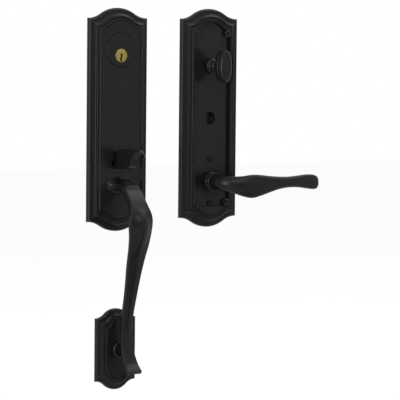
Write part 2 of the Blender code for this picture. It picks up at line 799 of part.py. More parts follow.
def thumb_bracket(finish):
    """A pressed bracket: a plate round the slot, with two ears bent back for the pivot."""
    bm = bmesh.new()
    window_top, window_bottom = SLOT_TOP + 0.5, SLOT_BOTTOM - 1.0
    top, bottom = window_top + 7.0, window_bottom - 2.0
    ear = EAR_SPAN / 2
    middle = (top + bottom) / 2
    half_width = BRACKET_SCREW_X + BRACKET_MARGIN
    outline = rectangle(0, middle, half_width, (top - bottom) / 2)
    window = rectangle(0, (window_top + window_bottom) / 2, ear + TOUCH,
                       (window_top - window_bottom) / 2)
    holes = [
        circle(x, BRACKET_SCREW_Z, BRACKET_SCREW_RADIUS + TOUCH, SMALL_ROUND)
        for x in (-BRACKET_SCREW_X, BRACKET_SCREW_X)
    ]
    prism(bm, outline, BRACKET_FRONT, BRACKET_BACK, [window, *holes])
    bracket = piece("thumb_bracket", bm, finish)
    pivot = (THUMB_PIVOT_HEIGHT, THUMB_PIVOT_Z)
    side = [(BRACKET_FRONT - TOUCH, pivot[1] + EAR_RADIUS)]
    side += arc(pivot, EAR_RADIUS, 90, 270, 8)
    side += [(BRACKET_FRONT - TOUCH, pivot[1] - EAR_RADIUS)]
    for name, sign in SIDES:
        shape = bmesh.new()
        extruded_across(shape, side, BRACKET_GAUGE / 2, sign * (ear + BRACKET_GAUGE / 2))
        join(bracket, piece(name + "_ear", shape, None))
    bore = bmesh.new()
    radius = PIVOT_PIN_RADIUS + TOUCH
    turned(bore, [(radius, -2 * ear), (radius, 2 * ear)], at(0, *pivot), "across", SMALL_ROUND)
    cut(bracket, piece("ear_bore", bore, None))
    return bracket


def thumb_pivot_pin(finish):
    bm = bmesh.new()
    half = EAR_SPAN / 2 + BRACKET_GAUGE + 2.4
    profile = [
        (PIVOT_PIN_RADIUS - 0.5, -half), (PIVOT_PIN_RADIUS, -half + 0.5),
        (PIVOT_PIN_RADIUS, half - 0.5), (PIVOT_PIN_RADIUS - 0.5, half),
    ]
    centre = at(0, THUMB_PIVOT_HEIGHT, THUMB_PIVOT_Z)
    turned(bm, profile, centre, "across", SMALL_ROUND)
    return piece("thumb_pivot_pin", bm, finish)


def thumb_pin_clip(name, sign, finish):
    """A push-on clip outside one of the ears."""
    bm = bmesh.new()
    near = EAR_SPAN / 2 + BRACKET_GAUGE + TOUCH
    hole = PIVOT_PIN_RADIUS + TOUCH
    profile = [
        (hole, sign * near), (4.2, sign * near), (4.2, sign * (near + 0.5)),
        (hole, sign * (near + 0.9)),
    ]
    centre = at(0, THUMB_PIVOT_HEIGHT, THUMB_PIVOT_Z)
    turned(bm, profile, centre, "across", SMALL_ROUND, hollow=True)
    return piece(name, bm, finish)


def thumb_spring(finish):
    """A torsion spring on the pin: one leg on the tail, the other up behind the bracket."""
    web_side = THUMB_WEB / 2
    first_x = web_side + TOUCH + THUMB_WIRE / 2
    last_x = EAR_SPAN / 2 - TOUCH - THUMB_WIRE / 2
    rest = THUMB_PIVOT_Z + THUMB_COIL_RADIUS
    points = [at(0.0, -13.0, rest), at(first_x - 1.0, -13.0, rest), at(first_x, -12.0, rest)]
    start, end = 90.0, 360.0 * 2 + 25.0
    steps = 22
    for i in range(steps + 1):
        angle = math.radians(start + (end - start) * i / steps)
        x = first_x + (last_x - first_x) * i / steps
        height = THUMB_PIVOT_HEIGHT - THUMB_COIL_RADIUS * math.cos(angle)
        points.append(at(x, height, THUMB_PIVOT_Z + THUMB_COIL_RADIUS * math.sin(angle)))
    leave = math.radians(end)
    stop = BRACKET_BACK - TOUCH - THUMB_WIRE / 2
    height = THUMB_PIVOT_HEIGHT - THUMB_COIL_RADIUS * math.cos(leave)
    z = THUMB_PIVOT_Z + THUMB_COIL_RADIUS * math.sin(leave)
    length = (stop - height) / math.sin(leave)
    points.append(at(last_x, stop, z + length * math.cos(leave)))
    return wire("thumb_spring", points, THUMB_WIRE, finish)


def bracket_screw(name, x, finish):
    bm = bmesh.new()
    seat = BRACKET_BACK - TOUCH
    profile = [
        (BRACKET_SCREW_RADIUS, POCKET_FLOOR + 1.4), (BRACKET_SCREW_RADIUS, seat),
        (BRACKET_SCREW_HEAD, seat), (BRACKET_SCREW_HEAD, seat - 1.0),
        (BRACKET_SCREW_HEAD - 0.9, seat - 1.6),
    ]
    turned(bm, profile, at(x, 0, BRACKET_SCREW_Z), count=SMALL_ROUND)
    return piece(name, bm, finish)


# Bow grip

def grip_stations():
    """The grip's centre line from the neck down to the foot.

    Each row gives the height, z, the half width, the half thickness, the ridge's rise and how
    far the section has gone from an oval to a flat bar.
    """
    return [
        (PANEL_HEIGHT + TOUCH, NECK_Z, 18.5, 8.8, 0.0, 0.0),
        (12.4, NECK_Z, 15.3, 7.0, 0.0, 0.0),
        (15.8, -70.6, 12.9, 5.7, 0.0, 0.2),
        (21.0, -71.9, 11.2, 4.8, 0.0, 0.7),
        (28.0, -74.9, 10.4, 4.2, 0.0, 1.0),
        (34.5, -79.6, 10.0, 3.9, 0.0, 1.0),
        (40.0, -86.0, 10.2, 3.6, 0.0, 1.0),
        (44.6, -93.0, 11.5, 3.1, 0.0, 1.0),
        (47.6, -98.6, 13.0, 2.8, 1.8, 1.0),
        (48.7, -104.5, 14.3, 2.7, 5.4, 1.0),
        (48.4, -112.0, 14.5, 2.6, 6.8, 1.0),
        (47.3, -123.4, 13.1, 2.6, 5.2, 1.0),
        (44.8, -134.4, 11.9, 2.6, 2.3, 1.0),
        (41.0, -146.2, 10.6, 2.6, 1.2, 1.0),
        (37.2, -159.3, 9.5, 2.6, 0.9, 1.0),
        (33.8, -174.0, 8.3, 2.5, 0.9, 1.0),
        (30.2, -189.4, 7.4, 2.5, 0.9, 1.0),
        (25.6, -208.4, 6.8, 2.5, 0.9, 1.0),
        (22.9, -225.9, 6.7, 2.4, 0.9, 1.0),
        (23.7, -241.3, 7.1, 2.4, 0.9, 1.0),
        (26.8, -253.0, 7.9, 2.4, 0.9, 1.0),
        (31.8, -263.0, 8.7, 2.3, 0.8, 1.0),
        (36.6, -268.6, 9.0, 2.2, 0.6, 1.0),
        (40.0, -271.2, 9.0, 2.1, 0.4, 1.0),
    ]


def grip_section(half, depth, ridge, flank, flat):
    """One section as (across, out) points, going from an oval to a ridged bar."""
    front, back = GRIP_EDGE_FRONT, GRIP_EDGE_BACK
    bar = [
        (0.0, -depth), (half - back, -depth), (half, back - depth), (half, depth - front),
        (half - front, depth), (half / 2, depth + flank), (0.0, depth + ridge),
    ]
    angles = [math.radians(a) for a in (-90, -50, -25, 25, 50, 70, 90)]
    oval_shape = [(half * math.cos(a), depth * math.sin(a)) for a in angles]
    right = [
        (a + (b - a) * flat, c + (d - c) * flat)
        for (a, c), (b, d) in zip(oval_shape, bar)
    ]
    return right + [(-x, out) for x, out in right[-2:0:-1]]


def grip_body(bm):
    rows = smooth_path(grip_stations(), 2)
    rings = []
    for i, (height, z, half, depth, ridge, flat) in enumerate(rows):
        before, after = rows[max(i - 1, 0)], rows[min(i + 1, len(rows) - 1)]
        run = Vector((after[0] - before[0], after[1] - before[1]))
        if i == 0:
            run = Vector((1.0, 0.0))
        run.normalize()
        normal = Vector((-run.y, run.x))
        flank = max(0.0, before[4]) / 2
        loop = []
        for x, out in grip_section(half, depth, max(0.0, ridge), flank, flat):
            loop.append(bm.verts.new(at(x, height + normal.x * out, z + normal.y * out)))
        rings.append(loop)
    for first, second in zip(rings, rings[1:]):
        bridge(bm, first, second)
    bm.faces.new(rings[0])
    bm.faces.new(rings[-1])


def grip_handle(finish):
    """The cast grip with its lower leg, bored for the two bolts."""
    bm = bmesh.new()
    grip_body(bm)
    grip = piece("grip_handle", bm, finish, sharp=22.0)
    leg = bmesh.new()
    foot = LOWER_PANEL_HEIGHT + TOUCH
    profile = [
        (LEG_RADIUS, foot), (LEG_RADIUS, foot + 8.0), (LEG_RADIUS + 0.4, foot + 11.0),
        (LEG_RADIUS + 1.0, LEG_TOP),
    ]
    turned(leg, profile, at(0, 0, LOWER_Z))
    join(grip, piece("leg_shape", leg, None))
    radius = BOLT_RADIUS + TOUCH
    holes = (
        ("neck_bolt_hole", NECK_Z, PANEL_HEIGHT + TOUCH, NECK_BOLT_DEPTH),
        ("leg_bolt_hole", LOWER_Z, foot, LEG_BOLT_DEPTH),
    )
    for name, z, mouth, depth in holes:
        bore = bmesh.new()
        turned(bore, [(radius, mouth - 1.0), (radius, mouth + depth)], at(0, 0, z), count=12)
        cut(grip, piece(name, bore, None))
    return grip


def grip_foot_collar(finish):
    """A turned ring that dresses the leg where it meets the small plate."""
    bm = bmesh.new()
    base = LOWER_PANEL_HEIGHT + TOUCH
    bore = LEG_RADIUS + TOUCH
    rounding = arc((COLLAR_RADIUS - 2.6, base + 2.6), 2.6, -60, 90, 5)
    profile = [(bore, base)] + rounding + [(bore, base + 5.2)]
    turned(bm, profile, at(0, 0, LOWER_Z), hollow=True)
    return piece("grip_foot_collar", bm, finish)


# Turn piece

def turn_collar(finish):
    bm = bmesh.new()
    bore = STEM_RADIUS + RUNNING
    base = PANEL_HEIGHT + TOUCH
    wide = TURN_COLLAR_RADIUS
    profile = [
        (bore, base), (wide - 0.1, base), (wide, base + 0.8), (wide - 0.5, base + 2.0),
        (wide - 1.8, base + 2.7), (wide - 2.2, base + 3.7), (wide - 3.2, base + 4.2),
        (bore, base + 4.2),
    ]
    turned(bm, profile, at(INSIDE_X, 0, TURN_Z), hollow=True)
    return piece("turn_collar", bm, finish)


def clip_layers():
    """Heights of the wave washer and the clip behind the inside plate."""
    washer_top = POCKET_FLOOR - TOUCH
    clip_top = washer_top - WAVE_WASHER_THICKNESS - TOUCH
    return washer_top, clip_top, clip_top - CLIP_THICKNESS


def turn_knob(finish, parent):
    """The oval turn piece with its turned stem, bored for the flat bar."""
    bm = bmesh.new()
    _, clip_top, clip_bottom = clip_layers()
    groove = STEM_RADIUS - 0.9
    stem = [
        (STEM_RADIUS, STEM_END), (STEM_RADIUS, clip_bottom - 0.2), (groove, clip_bottom - 0.2),
        (groove, clip_top + 0.2), (STEM_RADIUS, clip_top + 0.2), (STEM_RADIUS, 14.8),
        (5.5, 15.6), (5.6, 16.6), (4.6, 17.6), (4.0, 19.0), (4.3, 20.6), (5.0, 22.0),
    ]
    steps = [(circle(INSIDE_X, TURN_Z, radius), height) for radius, height in stem]
    shell = [
        # inset from the widest oval, share of the depth
        (2.8, 0.0), (1.3, 0.07), (0.4, 0.2), (0.0, 0.34), (0.0, 0.46), (0.6, 0.5), (0.6, 0.56),
        (0.0, 0.6), (0.0, 0.75), (0.5, 0.89), (1.4, 0.97), (2.1, 1.0), (2.7, 0.965),
        (3.1, 0.955),
    ]
    for inset, share in shell:
        outline = oval(INSIDE_X, TURN_Z, TURN_HALF_WIDTH - inset, TURN_HALF_HEIGHT - inset)
        steps.append((outline, TURN_BACK + TURN_DEPTH * share))
    first, last = chain(bm, steps)
    bm.faces.new(first)
    bm.faces.new(last)
    knob = piece("turn_knob", bm, finish, parent)
    bore = bmesh.new()
    half = TURN_BAR / 2 + TOUCH
    prism(bore, rectangle(INSIDE_X, TURN_Z, half, half), STEM_END + TURN_BAR_DEPTH + 0.5,
          STEM_END - 1.0)
    cut(knob, piece("turn_bar_bore", bore, None, parent))
    cut(knob, pin_bore("turn_pin_bore", parent))
    return knob


def pin_bore(name, parent):
    bore = bmesh.new()
    radius = SPINDLE_PIN_RADIUS + TOUCH
    centre = at(INSIDE_X, SPINDLE_PIN_HEIGHT, TURN_Z)
    reach = STEM_RADIUS + 1.0
    turned(bore, [(radius, -reach), (radius, reach)], centre, "across", 12)
    return piece(name, bore, None, parent)


def turn_spindle(finish, parent):
    bm = bmesh.new()
    half = TURN_BAR / 2
    outline = rectangle(INSIDE_X, TURN_Z, half, half)
    prism(bm, outline, STEM_END + TURN_BAR_DEPTH, -TURN_BAR_REACH)
    bar = piece("turn_spindle", bm, finish, parent)
    cut(bar, pin_bore("turn_bar_pin_bore", parent))
    return bar


def turn_spindle_pin(finish, parent):
    bm = bmesh.new()
    half = STEM_RADIUS - 0.5
    profile = [(SPINDLE_PIN_RADIUS, -half), (SPINDLE_PIN_RADIUS, half)]
    turned(bm, profile, at(INSIDE_X, SPINDLE_PIN_HEIGHT, TURN_Z), "across", 12)
    return piece("turn_spindle_pin", bm, finish, parent)


def turn_spring_washer(finish):
    bm = bmesh.new()
    top, _, _ = clip_layers()
    bottom = top - WAVE_WASHER_THICKNESS
    bore = STEM_RADIUS + RUNNING
    profile = [(bore, top), (7.6, top), (7.6, bottom), (bore, bottom)]
    turned(bm, profile, at(INSIDE_X, 0, TURN_Z), hollow=True)
    return piece("turn_spring_washer", bm, finish)


def open_ring(name, z, inner, outer, top, bottom, finish, parent):
    """A retaining ring with a gap at its foot, sprung into a groove."""
    bm = bmesh.new()
    opening = 28.0
    outline = arc((INSIDE_X, z), outer, -90 + opening, 270 - opening, 12)
    outline += arc((INSIDE_X, z), inner, 270 - opening, -90 + opening, 12)
    prism(bm, outline, top, bottom)
    return piece(name, bm, finish, parent)


# Lever

def lever_collar(finish):
    bm = bmesh.new()
    bore = NECK_RADIUS + RUNNING
    base = PANEL_HEIGHT + TOUCH
    wide = LEVER_COLLAR_RADIUS
    profile = [
        (bore, base), (wide, base), (wide + 0.2, base + 1.0), (wide, base + 3.2),
        (wide - 0.8, base + 3.8), (wide - 0.8, base + 4.6), (wide - 0.2, base + 5.4),
        (wide - 0.2, base + 6.8), (wide - 1.0, LEVER_COLLAR_TOP - 0.2), (bore, LEVER_COLLAR_TOP),
    ]
    turned(bm, profile, at(INSIDE_X, 0, LEVER_Z), hollow=True)
    return piece("lever_collar", bm, finish)


def lever_stations():
    """The swan neck and the blade beyond it.

    Each row gives how far along the door, the height, z, the half height, the half depth and
    how square the section is.
    """
    return [
        (0.0, 20.0, -70.0, 8.2, 8.2, 2.0),
        (0.0, 25.0, -70.0, 8.3, 8.2, 2.0),
        (0.9, 31.0, -70.3, 8.4, 7.9, 2.0),
        (4.2, 37.0, -71.2, 8.8, 7.3, 2.0),
        (9.8, 42.0, -72.6, 9.7, 6.5, 2.1),
        (17.5, 46.0, -73.8, 11.4, 5.6, 2.2),
        (27.5, 49.0, -74.0, 12.9, 4.8, 2.3),
        (38.0, 50.9, -73.1, 11.5, 4.3, 2.3),
        (50.0, 52.1, -72.0, 9.0, 4.2, 2.3),
        (62.0, 52.7, -70.9, 7.0, 4.2, 2.3),
        (75.0, 52.9, -70.3, 6.1, 4.2, 2.3),
        (88.0, 52.6, -70.0, 6.6, 3.9, 2.4),
        (100.0, 51.8, -70.3, 7.8, 3.5, 2.6),
        (108.5, 51.0, -71.0, 8.2, 3.2, 2.8),
        (114.5, 50.3, -71.6, 7.7, 3.0, 2.8),
        (117.8, 49.8, -71.9, 6.0, 2.5, 2.6),
        (119.3, 49.5, -72.0, 3.2, 1.5, 2.4),
    ]


def lever_ring(bm, x, height, z, run, half_height, half_depth, square, count=14):
    """A section across the lever's run, with its first point on the front."""
    normal = Vector((-run.y, run.x))
    loop = []
    for i in range(count):
        angle = 2 * math.pi * i / count
        out, up = math.cos(angle), math.sin(angle)
        out = math.copysign(abs(out) ** (2 / square), out) * half_depth
        up = math.copysign(abs(up) ** (2 / square), up) * half_height
        loop.append(bm.verts.new(at(INSIDE_X + x + normal.x * out, height + normal.y * out, z + up)))
    return loop


def lever(finish, parent):
    """Hub, swan neck and blade cast as one, with a square bore and a set-screw hole."""
    bm = bmesh.new()
    clip_top = POCKET_FLOOR - TOUCH
    clip_bottom = clip_top - LEVER_CLIP_THICKNESS
    hub = [
        (HUB_END, HUB_RADIUS), (clip_bottom - 0.2, HUB_RADIUS),
        (clip_bottom - 0.2, HUB_GROOVE_RADIUS), (clip_top + 0.2, HUB_GROOVE_RADIUS),
        (clip_top + 0.2, HUB_RADIUS), (PANEL_HEIGHT - 0.5, HUB_RADIUS),
        (PANEL_HEIGHT + TOUCH, NECK_RADIUS),
    ]
    straight = Vector((0.0, 1.0))
    rings = [
        lever_ring(bm, 0.0, height, LEVER_Z, straight, radius, radius, 2.0)
        for height, radius in hub
    ]
    rows = smooth_path(lever_stations(), 2)
    for i, (x, height, z, half_height, half_depth, square) in enumerate(rows):
        before, after = rows[max(i - 1, 0)], rows[min(i + 1, len(rows) - 1)]
        run = Vector((after[0] - before[0], after[1] - before[1])).normalized()
        rings.append(lever_ring(bm, x, height, z, run, half_height, half_depth, square))
    for first, second in zip(rings, rings[1:]):
        bridge(bm, first, second)
    bm.faces.new(rings[0])
    bm.faces.new(rings[-1])
    result = piece("lever", bm, finish, parent)

    bore = bmesh.new()
    half = LEVER_BAR / 2 + TOUCH
    prism(bore, rectangle(INSIDE_X, LEVER_Z, half, half), HUB_END + LEVER_BAR_DEPTH + 0.4,
          HUB_END - 1.0)
    cut(result, piece("lever_bar_bore", bore, None, parent))
    screw = bmesh.new()
    radius = SET_SCREW_RADIUS + TOUCH
    profile = [(radius, -NECK_RADIUS - 2.0), (radius, -1.0)]
    turned(screw, profile, at(INSIDE_X, SET_SCREW_HEIGHT, LEVER_Z), "up", 12)
    cut(result, piece("set_screw_bore", screw, None, parent))
    return result


def lever_spindle(finish, parent):
    bm = bmesh.new()
    half = LEVER_BAR / 2
    outline = rectangle(INSIDE_X, LEVER_Z, half, half)
    prism(bm, outline, HUB_END + LEVER_BAR_DEPTH, -LEVER_BAR_REACH)
    return piece("lever_spindle", bm, finish, parent)


def lever_set_screw(finish, parent):
    bm = bmesh.new()
    top = -LEVER_BAR / 2 - 2 * TOUCH
    bottom = -NECK_RADIUS + 0.3
    profile = [
        (SET_SCREW_RADIUS - 0.6, top), (SET_SCREW_RADIUS, top - 0.6), (SET_SCREW_RADIUS, bottom),
        (1.0, bottom), (1.0, bottom + 1.4),
    ]
    turned(bm, profile, at(INSIDE_X, SET_SCREW_HEIGHT, LEVER_Z), "up", 12)
    return piece("lever_set_screw", bm, finish, parent)


# Spring cassette

def ears_outline():
    """The cassette's base: a disc with a rounded ear above and below."""
    half = CASE_BOSS_RADIUS + 0.5
    lean = math.degrees(math.asin(half / CASE_RADIUS))
    outline = []
    for sign, turn in ((1, 90.0), (-1, 270.0)):
        centre = (INSIDE_X, LEVER_Z + sign * CASE_SCREW_REACH)
        outline += arc(centre, half, turn - 90, turn + 90, 6)
        outline += arc((INSIDE_X, LEVER_Z), CASE_RADIUS, turn + lean, turn + 180 - lean, 9)
    return outline


def lugged_circle(radius, reach, steps=20):
    """A circle with a square lug at its top that runs in, or out, to the given reach."""
    half = LUG_HALF_WIDTH
    lean = math.degrees(math.asin(half / radius))
    outline = arc((INSIDE_X, LEVER_Z), radius, 90 + lean, 450 - lean, steps)
    return outline + [(INSIDE_X + half, LEVER_Z + reach), (INSIDE_X - half, LEVER_Z + reach)]


def spring_housing(finish):
    """A cup with two ears and a stop that stands in from its wall."""
    bm = bmesh.new()
    base = ears_outline()
    hub = circle(INSIDE_X, LEVER_Z, HUB_RADIUS + 2 * RUNNING)
    screws = [
        circle(INSIDE_X, LEVER_Z + reach, CASE_SCREW_RADIUS + HOLE_PLAY, SMALL_ROUND)
        for reach in (-CASE_SCREW_REACH, CASE_SCREW_REACH)
    ]
    wall = circle(INSIDE_X, LEVER_Z, CASE_RADIUS - 0.3, 28)
    inside = lugged_circle(CASE_RADIUS - CASE_WALL, STOP_REACH, 20)
    edge = chain(bm, [(base, CASE_FRONT), (base, CASE_FLOOR)])
    bore = chain(bm, [(hub, CASE_FRONT), (hub, CASE_FLOOR)])
    holes = [chain(bm, [(hole, CASE_FRONT), (hole, CASE_FLOOR)]) for hole in screws]
    outer = chain(bm, [(wall, CASE_FLOOR), (wall, CASE_OPEN)])
    inner = chain(bm, [(inside, CASE_FLOOR), (inside, CASE_OPEN)])
    fill(bm, edge[0], [bore[0]] + [hole[0] for hole in holes])
    fill(bm, edge[1], [outer[0]] + [hole[1] for hole in holes])
    fill(bm, outer[1], [inner[1]])
    fill(bm, inner[0], [bore[1]])
    return piece("spring_housing", bm, finish)


def spring_housing_lid(finish):
    bm = bmesh.new()
    top = CASE_OPEN - TOUCH
    outline = circle(INSIDE_X, LEVER_Z, CASE_RADIUS - 0.3, 28)
    hole = circle(INSIDE_X, LEVER_Z, LEVER_BAR * 0.8)
    prism(bm, outline, top, top - CASE_GAUGE, [hole])
    return piece("spring_housing_lid", bm, finish)


def return_cam(finish, parent):
    """A plate on the square bar, whose lug winds the spring."""
    bm = bmesh.new()
    half = LEVER_BAR / 2 + TOUCH
    hole = rectangle(INSIDE_X, LEVER_Z, half, half)
    top = SPRING_LAYER + RETURN_WIRE / 2
    prism(bm, lugged_circle(CAM_PLATE_RADIUS, LUG_REACH), top, top - RETURN_WIRE, [hole])
    return piece("return_cam", bm, finish, parent)


def lever_return_spring(finish):
    """One turn of wire, its two ends bent in on either side of the lug and the stop."""
    side = LUG_HALF_WIDTH + TOUCH + RETURN_WIRE / 2
    lean = math.degrees(math.asin(side / RETURN_COIL_RADIUS))
    inner_end = CAM_PLATE_RADIUS + TOUCH + RETURN_WIRE / 2
    outline = [(INSIDE_X - side, LEVER_Z + inner_end)]
    outline += arc((INSIDE_X, LEVER_Z), RETURN_COIL_RADIUS, 90 + lean, 450 - lean, 26)
    outline += [(INSIDE_X + side, LEVER_Z + inner_end)]
    points = [at(x, SPRING_LAYER, z) for x, z in outline]
    return wire("lever_return_spring", points, RETURN_WIRE, finish)


def housing_screw(name, z, finish):
    bm = bmesh.new()
    seat = CASE_FLOOR - TOUCH
    profile = [
        (CASE_SCREW_RADIUS, POCKET_FLOOR + 1.3), (CASE_SCREW_RADIUS, seat),
        (2.5, seat), (2.5, seat - 0.9), (1.6, seat - 1.4),
    ]
    turned(bm, profile, at(INSIDE_X, 0, z), count=SMALL_ROUND)
    return piece(name, bm, finish)


def main():
    clear_scene()
    bronze = material("dark_bronze", (0.018, 0.018, 0.016), 0.3)
    brass = material("brass", (0.55, 0.45, 0.16), 0.3)
    steel = material("zinc_plated_steel", (0.45, 0.45, 0.44), 0.4)
    spring_steel = material("spring_steel", (0.2, 0.2, 0.21), 0.4)

    exterior_plate(bronze)
    for corner, x, z in CORNERS:
        mounting_post(corner + "_post", x, z, steel)
    cylinder_shell(bronze)
    key_axis = axis("key_axis", 0, 0, PLUG_Z)
    key_plug(brass, key_axis)
    cylinder_cam(brass, key_axis)
    for side, sign in SIDES:
        cam_screw(side + "_cam_screw", sign * CAM_SCREW_X, steel, key_axis)

    thumb_axis = axis("thumb_axis", 0, THUMB_PIVOT_HEIGHT, THUMB_PIVOT_Z)
    thumb_lever(bronze, thumb_axis)
    thumb_bracket(steel)
    thumb_pivot_pin(steel)
    thumb_spring(spring_steel)
    for side, sign in SIDES:
        thumb_pin_clip(side + "_pin_clip", sign, spring_steel)
        bracket_screw(side + "_bracket_screw", sign * BRACKET_SCREW_X, steel)

    grip_handle(bronze)
    grip_foot_collar(bronze)
    lower_plate(bronze)
    neck_tip = PANEL_HEIGHT + NECK_BOLT_DEPTH - 0.5
    leg_tip = LOWER_PANEL_HEIGHT + LEG_BOLT_DEPTH - 0.5
    through_bolt("grip_top_bolt", NECK_Z, neck_tip, -DOOR_THICKNESS, steel)
    bolt_washer("grip_top_washer", NECK_Z, -DOOR_THICKNESS, steel)
    sunk = FOOT_BOLT_SINK - DOOR_THICKNESS
    through_bolt("grip_foot_bolt", LOWER_Z, leg_tip, sunk, steel)
    bolt_washer("grip_foot_washer", LOWER_Z, sunk, steel)

    interior_plate(bronze)
    for corner, x, z in CORNERS:
        plate_screw(corner + "_screw", INSIDE_X + x, z, bronze)
    turn_axis = axis("turn_axis", INSIDE_X, 0, TURN_Z)
    turn_collar(bronze)
    turn_knob(bronze, turn_axis)
    turn_spindle(steel, turn_axis)
    turn_spindle_pin(steel, turn_axis)
    turn_spring_washer(spring_steel)
    _, clip_top, clip_bottom = clip_layers()
    groove = STEM_RADIUS - 0.9 + TOUCH
    open_ring("turn_clip", TURN_Z, groove, 7.2, clip_top, clip_bottom, spring_steel, turn_axis)

    lever_axis = axis("lever_axis", INSIDE_X, 0, LEVER_Z)
    lever_collar(bronze)
    lever(bronze, lever_axis)
    lever_spindle(steel, lever_axis)
    lever_set_screw(steel, lever_axis)
    top = POCKET_FLOOR - TOUCH
    open_ring("lever_clip", LEVER_Z, HUB_GROOVE_RADIUS + TOUCH, LEVER_CLIP_RADIUS, top,
              top - LEVER_CLIP_THICKNESS, spring_steel, lever_axis)
    return_cam(steel, lever_axis)
    spring_housing(steel)
    spring_housing_lid(steel)
    lever_return_spring(spring_steel)
    for end, sign in ENDS:
        housing_screw(end + "_housing_screw", LEVER_Z + sign * CASE_SCREW_REACH, steel)


main()
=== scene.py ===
"""Entry door handleset: fine shapes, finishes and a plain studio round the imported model.

Lengths in the settings are metres. The outlines below are millimetres: x runs across the door,
height is measured out of its face and z runs up, and at() turns the three into a point.
"""
import json
import math

import bmesh
import bpy
from mathutils import Matrix, Vector


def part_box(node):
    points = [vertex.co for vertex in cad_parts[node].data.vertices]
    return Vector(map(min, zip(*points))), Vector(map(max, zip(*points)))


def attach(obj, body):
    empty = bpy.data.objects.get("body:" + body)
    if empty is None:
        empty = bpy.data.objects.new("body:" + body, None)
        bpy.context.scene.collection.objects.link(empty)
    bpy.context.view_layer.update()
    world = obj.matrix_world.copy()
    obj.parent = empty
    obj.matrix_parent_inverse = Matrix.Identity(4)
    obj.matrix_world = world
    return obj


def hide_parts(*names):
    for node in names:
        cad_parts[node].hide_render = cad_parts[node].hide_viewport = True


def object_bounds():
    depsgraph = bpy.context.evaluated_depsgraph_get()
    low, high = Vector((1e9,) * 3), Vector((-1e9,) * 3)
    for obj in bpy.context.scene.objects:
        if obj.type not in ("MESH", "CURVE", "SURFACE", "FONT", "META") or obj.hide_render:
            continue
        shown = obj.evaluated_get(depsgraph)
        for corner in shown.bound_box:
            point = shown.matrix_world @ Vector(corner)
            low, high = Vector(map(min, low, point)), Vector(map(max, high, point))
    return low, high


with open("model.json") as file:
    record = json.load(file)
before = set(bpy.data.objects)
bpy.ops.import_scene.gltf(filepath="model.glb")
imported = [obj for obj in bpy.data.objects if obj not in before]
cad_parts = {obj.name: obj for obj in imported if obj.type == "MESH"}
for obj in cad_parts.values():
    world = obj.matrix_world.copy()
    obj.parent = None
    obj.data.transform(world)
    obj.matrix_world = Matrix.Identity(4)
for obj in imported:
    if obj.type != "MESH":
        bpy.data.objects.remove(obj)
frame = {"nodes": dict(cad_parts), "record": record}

bl_info = {
    "name": "Entry Door Handleset",
    "version": (1, 0, 0),
    "blender": (4, 5, 0),
    "location": "3D View > Sidebar > Handleset",
    "description": "Builds the visible shapes, finishes and studio of an entry door handleset",
    "category": "Object",
}

MM = 0.001
CAD_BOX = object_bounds()
NODES = frame["nodes"]
TOUCH = 0.3
POST_BOSS_RADIUS = 6.0
BOSS_GAP = 0.5
BOLT_HOLE = 2.8
TAIL_SCREW_X = 3.9
PIVOT_HOLE = 2.3
SLOT_TOP, SLOT_FOOT = -32.1, -56.6
FLARE_TOP, FLARE_FOOT, FLARE_WIDTH = -41.8, -49.0, 3.4
ROUND = 64
SMALL_ROUND = 40
SIDES = ("left", "right")
CORNERS = [f"{row}_{side}" for row in ("upper", "lower") for side in SIDES]


# Places read from the frame

def at(x, height, z):
    return Vector((x, -height, z)) * MM


def millimetres(length):
    return length / MM


def span(node):
    """A node's box in millimetres: x, height and z, each from low to high."""
    low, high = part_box(node)
    return (
        (low[0] / MM, high[0] / MM),
        (-high[1] / MM, -low[1] / MM),
        (low[2] / MM, high[2] / MM),
    )


def middle(pair):
    return (pair[0] + pair[1]) / 2


def centre_of(node):
    """A node's place across the door and up it."""
    box = span(node)
    return middle(box[0]), middle(box[2])


def reach_of(node):
    """Half a node's width across the door."""
    across = span(node)[0]
    return (across[1] - across[0]) / 2


def joint_point(name):
    """A joint's place as x, height and z in millimetres."""
    for joint in frame["record"]["behaviour"]["joints"]:
        if joint["name"] == name:
            x, y, z = joint["pos_m"]
            return x / MM, -y / MM, z / MM
    raise ValueError(f"no joint is named {name}")


# Outlines and curves

def arc(centre, radius, start, end, steps):
    """Points on an arc between two angles in degrees, both ends included."""
    points = []
    for i in range(steps + 1):
        angle = math.radians(start + (end - start) * i / steps)
        points.append((centre[0] + radius * math.cos(angle), centre[1] + radius * math.sin(angle)))
    return points


def circle(x, z, radius, count=ROUND):
    turns = [2 * math.pi * i / count for i in range(count)]
    return [(x + radius * math.cos(a), z + radius * math.sin(a)) for a in turns]


def oval(x, z, half_width, half_height, count=96):
    turns = [2 * math.pi * i / count for i in range(count)]
    return [(x + half_width * math.cos(a), z + half_height * math.sin(a)) for a in turns]


def rectangle(x, z, half_width, half_height):
    corners = ((1, -1), (1, 1), (-1, 1), (-1, -1))
    return [(x + i * half_width, z + j * half_height) for i, j in corners]


def cross(x, z, reach, half):
    """A cross of four equal arms."""
    points = []
    for turn in range(4):
        cosine, sine = math.cos(turn * math.pi / 2), math.sin(turn * math.pi / 2)
        for i, j in ((half, half), (half, reach), (-half, reach)):
            points.append((x + i * cosine - j * sine, z + i * sine + j * cosine))
    return points


def softened(points, radius, closed=False, steps=3):
    """The same outline with each real corner rounded off by up to the radius."""
    count = len(points)
    result = []
    for i, point in enumerate(points):
        if not closed and i in (0, count - 1):
            result.append(point)
            continue
        here = Vector(point)
        before = Vector(points[i - 1]) - here
        after = Vector(points[(i + 1) % count]) - here
        turn = before.angle(-after, 0.0) if before.length and after.length else 0.0
        if turn < math.radians(16):
            result.append(point)
            continue
        reach = min(radius, before.length * 0.45, after.length * 0.45)
        start = here + before.normalized() * reach
        end = here + after.normalized() * reach
        for k in range(steps + 1):
            t = k / steps
            bend = start * (1 - t) ** 2 + here * 2 * t * (1 - t) + end * t ** 2
            result.append((bend.x, bend.y))
    return result


